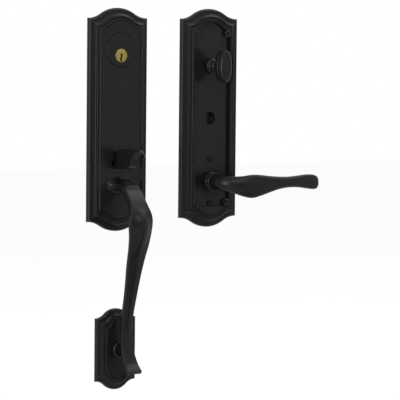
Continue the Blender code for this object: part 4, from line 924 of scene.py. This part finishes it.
class HANDLESET_OT_thumb_latch(bpy.types.Operator):
    """The thumb latch: its pad, web and tail, and the bracket, pin, clips and screws behind"""
    bl_idname = "handleset.thumb_latch"
    bl_label = "Thumb latch"

    def execute(self, context):
        _, pivot_h, pivot_z = joint_point("thumb_latch")
        web = softened([
            (36.0, -34.2), (12.0, -32.9), (4.0, -33.4), (-3.0, -36.4), (-6.2, -39.6),
            (-6.8, -43.0), (-6.8, -48.5), (-3.5, -52.0), (3.0, -53.4), (9.9, -53.5),
            (28.0, -52.3), (32.5, -50.6), (35.0, -46.8), (36.4, -40.5),
        ], 2.0, closed=True, steps=5)
        blade = extruded_across(web, 6.7, edge=0.5)
        taper, taper_start, taper_length = 0.42, 11.0, 25.0
        for vert in blade.verts:
            outward = (-vert.co.y / MM - taper_start) / taper_length
            vert.co.x *= 1.0 - taper * min(1.0, max(0.0, outward))
        tail = extruded_across(softened([
            (-2.0, -42.4), (-26.0, -42.4), (-28.0, -44.0), (-28.0, -46.0), (-26.0, -47.4),
            (-2.0, -47.4)], 0.6, closed=True), 3.0, edge=0.3)
        centre = at(0, pivot_h, pivot_z)
        hub = turned([(4.6, -8.0), (5.0, -7.6), (5.0, 0.0)], centre, "across", 48)
        lever = worked(blade, [pivot_bore(centre)], joined=[pad_shape(), tail, hub])
        place("thumb_piece", lever, dark_bronze, "thumb_lever", ["thumb_lever"], sharp=32.0)

        for side, sign in (("left", -1), ("right", 1)):
            profile = [(2.3, 10.4), (4.2, 10.4), (4.3, 10.6), (4.2, 10.9), (3.0, 11.0),
                       (2.3, 11.3)]
            clip = turned([(r, sign * d) for r, d in profile], centre, "across", SMALL_ROUND,
                          hollow=True)
            place(side + "_push_clip", clip, spring_wire, "trim", [side + "_pin_clip"])
            node = side + "_bracket_screw"
            cross_screw(
                side + "_pan_screw", node, "trim", centre_of(node), (1.4, 0.2, 0.6, 1.9),
                [(1.4, 1.6), (2.7, 1.6), (2.7, 0.8), (2.2, 0.2), (1.2, 0.0)], (1.4, 0.3, 0.9),
                SMALL_ROUND)
        low, high = span("thumb_pivot_pin")[0]
        pin = turned([(1.5, low), (2.0, low + 0.5), (2.0, high - 0.5), (1.5, high)], centre,
                     "across", SMALL_ROUND)
        place("pivot_pin", pin, zinc, "trim", ["thumb_pivot_pin"])
        self.bracket(centre)
        return {"FINISHED"}

    def bracket(self, centre):
        """A channel of sheet: a plate round the slot, and side walls that carry the pivot."""
        across, heights, rise = span("thumb_bracket")
        front, gauge, inner = heights[1], 1.8, 8.3
        outline = softened(rectangle(0, middle(rise), across[1], (rise[1] - rise[0]) / 2), 2.5,
                           closed=True)
        window = rectangle(0, (SLOT_TOP + SLOT_FOOT) / 2, inner + TOUCH,
                           (SLOT_TOP - SLOT_FOOT) / 2)
        holes = [circle(*centre_of(side + "_bracket_screw"), 1.7, 24) for side in SIDES]
        sheet = prism(outline, front, front - gauge, [window, *holes])
        side_view = softened([(front - TOUCH, -30.5), (-16.0, -30.5), (-16.0, -60.5),
                              (front - TOUCH, -60.5)], 1.0, closed=True)
        walls = [extruded_across(side_view, gauge / 2, sign * (inner + gauge / 2))
                 for sign in (-1, 1)]
        channel = worked(sheet, [pivot_bore(centre)], joined=walls)
        place("latch_channel", channel, black_steel, "trim", ["thumb_bracket"])


# Grip

def grip_stations():
    """The grip's centre line: height, z, half width, half thickness, ridge and flatness."""
    grip_z = middle(span("grip_top_bolt")[2])
    return [
        (10.2, grip_z, 18.5, 8.8, 0.0, 0.0),
        (12.4, grip_z, 15.3, 7.0, 0.0, 0.0),
        (15.8, -70.6, 12.9, 5.7, 0.0, 0.2),
        (21.0, -71.9, 11.2, 4.8, 0.0, 0.7),
        (28.0, -74.9, 10.4, 4.2, 0.0, 1.0),
        (34.5, -79.6, 10.0, 3.9, 0.0, 1.0),
        (40.0, -86.0, 10.2, 3.6, 0.0, 1.0),
        (44.6, -93.0, 11.5, 3.1, 0.0, 1.0),
        (47.6, -98.6, 13.0, 2.8, 1.8, 1.0),
        (48.7, -104.5, 14.3, 2.7, 5.4, 1.0),
        (48.4, -112.0, 14.5, 2.6, 6.8, 1.0),
        (47.3, -123.4, 13.1, 2.6, 5.2, 1.0),
        (44.8, -134.4, 11.9, 2.6, 2.3, 1.0),
        (41.0, -146.2, 10.6, 2.6, 1.2, 1.0),
        (37.2, -159.3, 9.5, 2.6, 0.9, 1.0),
        (33.8, -174.0, 8.3, 2.5, 0.9, 1.0),
        (30.2, -189.4, 7.4, 2.5, 0.9, 1.0),
        (25.6, -208.4, 6.8, 2.5, 0.9, 1.0),
        (22.9, -225.9, 6.7, 2.4, 0.9, 1.0),
        (23.7, -241.3, 7.1, 2.4, 0.9, 1.0),
        (26.8, -253.0, 7.9, 2.4, 0.9, 1.0),
        (31.8, -263.0, 8.7, 2.3, 0.8, 1.0),
        (36.6, -268.6, 9.0, 2.2, 0.6, 1.0),
        (40.0, -271.2, 9.0, 2.1, 0.4, 1.0),
    ]


def grip_section(half, depth, ridge, flank, flat):
    """Half of a section as (across, out) points, from the back's middle to the ridge."""
    back, front = 1.3, 0.8
    bar = [(share * (half - back) / 3, -depth) for share in range(3)]
    bar += arc((half - back, back - depth), back, -90, 0, 5)
    bar += arc((half - front, depth - front), front, 0, 90, 4)
    steepness = 3 * ridge - 4 * flank
    for t in (0.15, 0.3, 0.45, 0.58, 0.69, 0.79, 0.87, 0.94, 1.0):
        across = (half - front) * (1 - t)
        rise = 2 * t * (1 - t) * (2 * flank - ridge / 2) + t * t * ridge
        eased = max(0.0, t - 0.55) / 0.45
        bar.append((across, depth + rise - 0.225 * steepness * eased * eased))
    count = len(bar) - 1
    angles = [math.pi * (i / count - 0.5) for i in range(count + 1)]
    blend = [
        (a + (half * math.cos(t) - a) * (1 - flat), b + (depth * math.sin(t) - b) * (1 - flat))
        for (a, b), t in zip(bar, angles)
    ]
    return blend


def grip_shape(bm):
    rows = smooth_path(grip_stations(), 10)
    rings = []
    for i, (height, z, half, depth, ridge, flat) in enumerate(rows):
        before, after = rows[max(i - 1, 0)], rows[min(i + 1, len(rows) - 1)]
        run = Vector((after[0] - before[0], after[1] - before[1])) if i else Vector((1.0, 0.0))
        run.normalize()
        normal = Vector((-run.y, run.x))
        ridge = max(0.0, ridge)
        flank = min(ridge / 2, max(0.0, rows[max(i - 5, 0)][4]) / 2)
        right = grip_section(half, depth, ridge, flank, min(1.0, max(0.0, flat)))
        section = right + [(-x, out) for x, out in right[-2:0:-1]]
        rings.append([
            bm.verts.new(at(x, height + normal.x * out, z + normal.y * out)) for x, out in section
        ])
    skin(bm, rings)


class HANDLESET_OT_grip(bpy.types.Operator):
    """The bow grip, its foot collar and the two bolts that hold it through the door"""
    bl_idname = "handleset.grip"
    bl_label = "Bow grip"

    def execute(self, context):
        bow = bmesh.new()
        grip_shape(bow)
        collar_box = span("grip_foot_collar")
        base = collar_box[1][0]
        foot_z = middle(collar_box[2])
        leg = turned([(5.0, base), (5.0, base + 8.0), (5.15, base + 9.5), (5.4, base + 11.0),
                      (6.0, 25.4)], at(0, 0, foot_z), count=48)
        neck_z, neck_base = middle(span("grip_top_bolt")[2]), grip_stations()[0][0]
        holes = [
            turned([(BOLT_HOLE, mouth - 1.0), (BOLT_HOLE, mouth + depth)], at(0, 0, z), count=32)
            for z, mouth, depth in ((neck_z, neck_base, 7.0), (foot_z, base, 11.0))
        ]
        place("bow_grip", worked(bow, holes, joined=[leg]), dark_bronze, "trim", ["grip_handle"],
              sharp=26.0, level=False)

        radius = reach_of("grip_foot_collar")
        profile = [(5.3, base), (radius - 1.6, base)]
        profile += arc((radius - 2.6, base + 2.6), 2.6, -60, 90, 14)
        profile += [(5.6, base + 5.2), (5.3, base + 4.9)]
        ring_shape = turned(profile, at(0, 0, foot_z), hollow=True)
        place("foot_collar", ring_shape, dark_bronze, "trim", ["grip_foot_collar"])

        for end in ("top", "foot"):
            bolt_box = span(f"grip_{end}_bolt")
            z = middle(bolt_box[2])
            low, high = bolt_box[1]
            seat = low + 3.2
            profile = [(1.9, high), (2.3, high - 0.4)]
            profile += threads(2.5, 0.3, 0.8, high - 0.5, high - 22.0)
            profile += [(2.5, high - 22.5), (2.5, seat), (5.0, seat), (5.0, low + 1.0),
                        (4.7, low + 0.4), (4.0, low)]
            bolt = turned(profile, at(0, 0, z), count=48)
            socket = prism(circle(0, z, 2.3, 6), low + 2.2, low - 1.0)
            place(f"{end}_through_bolt", worked(bolt, [socket]), zinc, "trim",
                  [f"grip_{end}_bolt"])
            outer, inner = span(f"grip_{end}_washer")[1]
            rim = reach_of(f"grip_{end}_washer")
            profile = [(2.9, inner), (rim - 0.2, inner), (rim, inner - 0.2),
                       (rim - 0.4, outer + 0.1), (rim - 0.8, outer), (2.9, outer)]
            washer = turned(profile, at(0, 0, z), count=48, hollow=True)
            place(f"{end}_washer", washer, zinc, "trim", [f"grip_{end}_washer"])
        return {"FINISHED"}


# Turn piece

class HANDLESET_OT_turn_piece(bpy.types.Operator):
    """The oval turn piece, its collar, and the pin and washer behind it"""
    bl_idname = "handleset.turn_piece"
    bl_label = "Turn piece"

    def execute(self, context):
        sizes = context.scene.handleset.turn
        x0, _, z0 = joint_point("turn_piece")
        half_width, half_height = millimetres(sizes.half_width), millimetres(sizes.half_height)
        back, depth = millimetres(sizes.back), millimetres(sizes.depth)
        stem_end = span("turn_knob")[1][0]
        clip_low, clip_high = span("turn_clip")[1]
        stem = [
            (4.3, stem_end), (4.5, stem_end + 0.2), (4.5, clip_low - 0.2), (3.6, clip_low - 0.2),
            (3.6, clip_high + 0.2), (4.5, clip_high + 0.2), (4.5, 14.8), (5.5, 15.6), (5.6, 16.6),
            (4.6, 17.6), (4.0, 19.0), (4.3, 20.6), (5.0, 22.0),
        ]
        stem = stem[:7] + [tuple(row) for row in smooth_path(stem[6:], 4)][1:]
        steps = [(circle(x0, z0, radius, 96), height) for radius, height in stem]
        shell = [
            (2.8, 0.0), (1.3, 0.07), (0.4, 0.2), (0.0, 0.34), (0.0, 0.46), (0.6, 0.5),
            (0.6, 0.56), (0.0, 0.6), (0.0, 0.75), (0.5, 0.89), (1.4, 0.97), (2.1, 1.0),
            (2.7, 0.965), (3.1, 0.955),
        ]
        rows = smooth_path(shell[:5], 4) + smooth_path(shell[5:7], 2)
        rows += smooth_path(shell[7:12], 4) + smooth_path(shell[12:], 2)
        for inset, share in rows:
            outline = oval(x0, z0, half_width - inset, half_height - inset)
            steps.append((outline, back + depth * share))
        knob = bmesh.new()
        first, last = chain(knob, steps)
        knob.faces.new(first)
        knob.faces.new(last)
        bore = prism(rectangle(x0, z0, 2.3, 2.3), stem_end + 15.5, stem_end - 1.0)
        pin_height = middle(span("turn_spindle_pin")[1])
        centre = at(x0, pin_height, z0)
        pin_hole = turned([(1.1, -5.5), (1.1, 5.5)], centre, "across", 24)
        knob = worked(knob, [bore, pin_hole])
        place("oval_turn", knob, dark_bronze, "turn_knob", ["turn_knob"])

        base, wide = span("turn_collar")[1][0], reach_of("turn_collar")
        profile = softened([
            (4.9, base), (wide - 0.1, base), (wide, base + 0.8), (wide - 0.5, base + 2.0),
            (wide - 1.8, base + 2.7), (wide - 2.2, base + 3.7), (wide - 3.2, base + 4.2),
            (4.9, base + 4.2),
        ], 0.5)
        collar = turned(profile, at(x0, 0, z0), hollow=True)
        place("turn_rose", collar, dark_bronze, "trim", ["turn_collar"])

        pin = turned([(0.6, -4.0), (0.8, -3.7), (0.8, 3.7), (0.6, 4.0)], centre, "across", 24)
        place("cross_pin", pin, zinc, "turn_knob", ["turn_spindle_pin"])
        low, high = span("turn_spring_washer")[1]
        washer = turned([(4.9, high), (7.6, high), (7.6, low), (4.9, low)], at(x0, 0, z0),
                        hollow=True)
        place("spring_washer", washer, spring_wire, "trim", ["turn_spring_washer"])
        return {"FINISHED"}


# Lever

def lever_stations():
    """The swan neck and blade: along, height, z, half height, half depth and squareness."""
    return [
        (0.0, 20.0, -70.0, 8.2, 8.2, 2.0),
        (0.0, 25.0, -70.0, 8.3, 8.2, 2.0),
        (0.9, 31.0, -70.3, 8.4, 7.9, 2.0),
        (4.2, 37.0, -71.2, 8.8, 7.3, 2.0),
        (9.8, 42.0, -72.6, 9.7, 6.5, 2.1),
        (17.5, 46.0, -73.8, 11.4, 5.6, 2.2),
        (27.5, 49.0, -74.0, 12.9, 4.8, 2.3),
        (38.0, 50.9, -73.1, 11.5, 4.3, 2.3),
        (50.0, 52.1, -72.0, 9.0, 4.2, 2.3),
        (62.0, 52.7, -70.9, 7.0, 4.2, 2.3),
        (75.0, 52.9, -70.3, 6.1, 4.2, 2.3),
        (88.0, 52.6, -70.0, 6.6, 3.9, 2.4),
        (100.0, 51.8, -70.3, 7.8, 3.5, 2.6),
        (108.5, 51.0, -71.0, 8.2, 3.2, 2.8),
        (114.5, 50.3, -71.6, 7.7, 3.0, 2.8),
        (117.8, 49.8, -71.9, 6.0, 2.5, 2.6),
        (119.3, 49.5, -72.0, 3.2, 1.5, 2.4),
    ]


def lever_ring(bm, x0, x, height, z, run, half_height, half_depth, square, count=56):
    normal = Vector((-run.y, run.x))
    loop = []
    for i in range(count):
        angle = 2 * math.pi * i / count
        out, up = math.cos(angle), math.sin(angle)
        out = math.copysign(abs(out) ** (2 / square), out) * half_depth
        up = math.copysign(abs(up) ** (2 / square), up) * half_height
        loop.append(bm.verts.new(at(x0 + x + normal.x * out, height + normal.y * out, z + up)))
    return loop


class HANDLESET_OT_lever(bpy.types.Operator):
    """The swan-neck lever and its collar"""
    bl_idname = "handleset.lever"
    bl_label = "Lever"

    def execute(self, context):
        x0, _, z0 = joint_point("lever_turn")
        clip_low, clip_high = span("lever_clip")[1]
        hub_end = span("lever")[1][0]
        bm = bmesh.new()
        hub = [
            (hub_end, 7.8), (hub_end + 0.2, 8.0), (clip_low - 0.2, 8.0), (clip_low - 0.2, 7.0),
            (clip_high + 0.2, 7.0), (clip_high + 0.2, 8.0), (9.4, 8.0), (10.2, 8.2),
        ]
        straight = Vector((0.0, 1.0))
        rings = [lever_ring(bm, x0, 0.0, h, z0, straight, r, r, 2.0) for h, r in hub]
        rows = smooth_path(lever_stations(), 9)
        for i, (x, height, z, half_height, half_depth, square) in enumerate(rows):
            before, after = rows[max(i - 1, 0)], rows[min(i + 1, len(rows) - 1)]
            run = Vector((after[0] - before[0], after[1] - before[1])).normalized()
            rings.append(lever_ring(bm, x0, x, height, z, run, half_height, half_depth, square))
        skin(bm, rings)
        bore = prism(rectangle(x0, z0, 4.3, 4.3), hub_end + 21.4, hub_end - 1.0)
        screw_height = middle(span("lever_set_screw")[1])
        screw_hole = turned([(2.3, -10.2), (2.3, -1.0)], at(x0, screw_height, z0), "up", 32)
        lever = worked(bm, [bore, screw_hole])
        place("swan_neck_lever", lever, dark_bronze, "lever", ["lever"],
              level=False)

        base, top = span("lever_collar")[1]
        wide = reach_of("lever_collar") - 0.2
        profile = softened([
            (8.6, base), (wide, base), (wide + 0.2, base + 1.0), (wide, base + 3.2),
            (wide - 0.8, base + 3.8), (wide - 0.8, base + 4.6), (wide - 0.2, base + 5.4),
            (wide - 0.2, base + 6.8), (wide - 1.0, top - 0.2), (8.9, top), (8.6, top - 0.3),
        ], 0.5)
        collar = turned(profile, at(x0, 0, z0), count=80, hollow=True)
        place("lever_rose", collar, dark_bronze, "trim", ["lever_collar"])
        return {"FINISHED"}


# Screws and posts

class HANDLESET_OT_fixings(bpy.types.Operator):
    """The four oval-head screws of the inside plate and the posts they reach"""
    bl_idname = "handleset.fixings"
    bl_label = "Screws and posts"

    def execute(self, context):
        for corner in CORNERS:
            self.screw(corner)
            self.post(corner)
        return {"FINISHED"}

    def screw(self, corner):
        node = corner + "_screw"
        (x, z), head = centre_of(node), reach_of(node)
        end, crown = span(node)[1]
        panel = crown - 1.0
        profile = [(1.2, crown), (2.3, crown - 0.12), (3.2, crown - 0.45),
                   (head - 0.05, panel + 0.1), (head, panel - 0.05), (2.0, panel - 1.9),
                   (1.75, panel - 2.3)]
        profile += threads(2.0, 0.25, 0.7, panel - 2.4, end + 1.0)
        profile += [(1.3, end)]
        screw = turned(profile, at(x, 0, z), count=32)
        recess = prism(cross(x, z, 2.1, 0.5), crown + 1.0, crown - 1.5)
        place(corner + "_oval_head", worked(screw, [recess]), dark_bronze, "trim", [node])

    def post(self, corner):
        node = corner + "_post"
        x, z = centre_of(node)
        end, tip = span(node)[1]
        profile = [(1.75, tip), (1.75, 1.7), (3.5, 1.7), (3.5, end + 0.4), (3.2, end),
                   (2.6, end), (2.3, end + 0.4)]
        profile += threads(2.3, -0.2, 0.7, end + 0.5, 0.0)
        post = turned(profile, at(x, 0, z), count=48)
        place(corner + "_tapped_post", post, zinc, "trim", [node])


# Hidden pieces that keep the CAD shape

class HANDLESET_OT_inner_pieces(bpy.types.Operator):
    """Finishes for the pieces behind the plates whose own shapes stay"""
    bl_idname = "handleset.inner_pieces"
    bl_label = "Inner pieces"

    def execute(self, context):
        steel = (
            "turn_spindle", "lever_spindle", "lever_set_screw", "return_cam", "spring_housing",
            "spring_housing_lid", "upper_housing_screw", "lower_housing_screw",
        )
        springs = ("thumb_spring", "lever_return_spring", "turn_clip", "lever_clip")
        for names, finish in ((steel, zinc), (springs, spring_wire)):
            for name in names:
                mesh = NODES[name].data
                mesh.materials.clear()
                mesh.materials.append(finish())
        return {"FINISHED"}


# Studio

def softbox(name, place_at, look_at, width, height, power):
    data = bpy.data.lights.new(name, "AREA")
    data.shape = "RECTANGLE"
    data.size, data.size_y = width, height
    data.energy = power
    lamp = bpy.data.objects.new(name, data)
    lamp.location = place_at
    lamp.rotation_euler = (Vector(look_at) - Vector(place_at)).to_track_quat("-Z", "Y").to_euler()
    lamp.visible_camera = False
    bpy.context.collection.objects.link(lamp)
    return lamp


def seen_rays(tree):
    """1 for rays from the camera, a mirror or glass, and 0 for the rest."""
    path = add_node(tree, "LightPath").outputs
    first = add_node(tree, "Math", {0: path["Is Camera Ray"], 1: path["Is Glossy Ray"]},
                     operation="MAXIMUM")
    second = add_node(tree, "Math", {
        0: first.outputs["Value"], 1: path["Is Transmission Ray"]}, operation="MAXIMUM")
    return second.outputs["Value"]


class HANDLESET_OT_studio(bpy.types.Operator):
    """A pale floor, a white surround, soft lamps, two cards and the camera"""
    bl_idname = "handleset.studio"
    bl_label = "Studio"

    def execute(self, context):
        settings = context.scene.handleset.studio
        context.scene.view_settings.view_transform = "Standard"
        self.surround(context)
        self.floor(settings)
        self.camera(context, settings)
        centre = (settings.target_x, 0.0, settings.target_z)
        softbox("front_softbox", (-0.2, -1.35, 1.0), centre, 1.1, 0.85, 7.5)
        softbox("side_softbox", (-1.3, -0.66, -0.05), (0.0, -0.03, -0.05), 0.75, 1.4, 21.0)
        softbox("right_softbox", (1.0, -0.35, 1.3), centre, 1.1, 1.1, 9.0)
        level = CAD_BOX[0][2] - settings.floor_drop + 0.002
        self.card("grey_card", 0.35, [
            (0.3, -1.5, level), (0.3, -1.5, 0.12), (-1.0, -1.05, 0.12), (-1.0, -1.05, level)])
        self.card("dark_card", 0.01, [
            (0.063, -0.17, level), (0.11, -0.14, level), (0.36, -0.43, level),
            (0.22, -0.52, level)])
        return {"FINISHED"}

    def card(self, name, tone, corners):
        """A card that is seen only in reflections."""
        card, _ = self.flat_sheet(name, corners, name + "_felt", tone, 1.0)
        card.visible_camera = False
        card.visible_shadow = False
        card.visible_diffuse = False

    def flat_sheet(self, name, corners, material_name, tone, roughness):
        """A flat face between corners in metres, and the tree of its matt grey material."""
        bm = bmesh.new()
        bm.faces.new([bm.verts.new(corner) for corner in corners])
        mesh = bpy.data.meshes.new(name)
        bm.to_mesh(mesh)
        bm.free()
        sheet = bpy.data.objects.new(name, mesh)
        bpy.context.collection.objects.link(sheet)
        material = bpy.data.materials.new(material_name)
        material.use_nodes = True
        shader = material.node_tree.nodes["Principled BSDF"]
        shader.inputs["Base Color"].default_value = (tone, tone, tone, 1.0)
        shader.inputs["Roughness"].default_value = roughness
        shader.inputs["Specular IOR Level"].default_value = 0.0
        mesh.materials.append(material)
        return sheet, material.node_tree

    def surround(self, context):
        world = bpy.data.worlds.new("white_surround")
        world.use_nodes = True
        tree = world.node_tree
        background = tree.nodes["Background"]
        background.inputs["Color"].default_value = (1.0, 1.0, 1.0, 1.0)
        strength = add_node(tree, "MapRange", {
            "Value": seen_rays(tree), "To Min": 0.5, "To Max": 1.0})
        tree.links.new(strength.outputs["Result"], background.inputs["Strength"])
        context.scene.world = world

    def floor(self, settings):
        level = CAD_BOX[0][2] - settings.floor_drop
        half = 4.0
        corners = [(-half, -half, level), (half, -half, level), (half, half, level),
                   (-half, half, level)]
        floor, tree = self.flat_sheet("studio_floor", corners, "pale_floor", 0.85, 0.9)
        glow = add_node(tree, "Emission", {"Color": (1.0, 1.0, 1.0, 1.0), "Strength": 1.1})
        share = add_node(tree, "Math", {0: seen_rays(tree), 1: 0.8}, operation="MULTIPLY")
        mix = add_node(tree, "MixShader", {
            "Fac": share.outputs["Value"], 1: tree.nodes["Principled BSDF"].outputs["BSDF"],
            2: glow.outputs["Emission"]})
        tree.links.new(mix.outputs["Shader"], tree.nodes["Material Output"].inputs["Surface"])

    def camera(self, context, settings):
        yaw, pitch, roll = settings.camera_yaw, settings.camera_pitch, settings.camera_roll
        forward = Vector((
            math.sin(yaw) * math.cos(pitch), math.cos(yaw) * math.cos(pitch), -math.sin(pitch)))
        right = forward.cross(Vector((0, 0, 1))).normalized()
        up = right.cross(forward)
        leaned_right = right * math.cos(roll) + up * math.sin(roll)
        leaned_up = up * math.cos(roll) - right * math.sin(roll)
        target = Vector((settings.target_x, 0.0, settings.target_z))
        data = bpy.data.cameras.new("photograph_view")
        data.lens = settings.focal
        data.sensor_width = 36.0
        data.clip_end = 20.0
        camera = bpy.data.objects.new("photograph_view", data)
        turn = Matrix((leaned_right, leaned_up, -forward)).transposed().to_4x4()
        camera.matrix_world = Matrix.Translation(
            target - forward * settings.camera_distance) @ turn
        bpy.context.collection.objects.link(camera)
        context.scene.camera = camera


class HANDLESET_PT_sidebar(bpy.types.Panel):
    """Lists the settings and the pieces of the handleset"""
    bl_idname = "HANDLESET_PT_sidebar"
    bl_label = "Entry Door Handleset"
    bl_space_type = "VIEW_3D"
    bl_region_type = "UI"
    bl_category = "Handleset"

    def draw(self, context):
        settings = context.scene.handleset
        for label, group in (("Plates", settings.plates), ("Cylinder", settings.cylinder),
                             ("Turn piece", settings.turn), ("Finish", settings.finish),
                             ("Studio", settings.studio)):
            box = self.layout.box()
            box.label(text=label)
            for name in group.__annotations__:
                box.prop(group, name)
        for operator in OPERATORS:
            self.layout.operator(operator.bl_idname, text=operator.bl_label)


SETTINGS = (
    EscutcheonSettings, CylinderSettings, TurnSettings, FinishSettings, StudioSettings,
    HandlesetSettings,
)
OPERATORS = (
    HANDLESET_OT_outside_plate, HANDLESET_OT_inside_plate, HANDLESET_OT_lower_plate,
    HANDLESET_OT_cylinder, HANDLESET_OT_thumb_latch, HANDLESET_OT_grip,
    HANDLESET_OT_turn_piece, HANDLESET_OT_lever, HANDLESET_OT_fixings,
    HANDLESET_OT_inner_pieces, HANDLESET_OT_studio,
)


def register():
    for item in (*SETTINGS, *OPERATORS, HANDLESET_PT_sidebar):
        bpy.utils.register_class(item)
    bpy.types.Scene.handleset = bpy.props.PointerProperty(type=HandlesetSettings)


def unregister():
    del bpy.types.Scene.handleset
    for item in reversed((*SETTINGS, *OPERATORS, HANDLESET_PT_sidebar)):
        bpy.utils.unregister_class(item)


def main():
    register()
    bpy.ops.handleset.outside_plate()
    bpy.ops.handleset.inside_plate()
    bpy.ops.handleset.lower_plate()
    bpy.ops.handleset.cylinder()
    bpy.ops.handleset.thumb_latch()
    bpy.ops.handleset.grip()
    bpy.ops.handleset.turn_piece()
    bpy.ops.handleset.lever()
    bpy.ops.handleset.fixings()
    bpy.ops.handleset.inner_pieces()
    bpy.ops.handleset.studio()


if __name__ == "__main__":
    main()
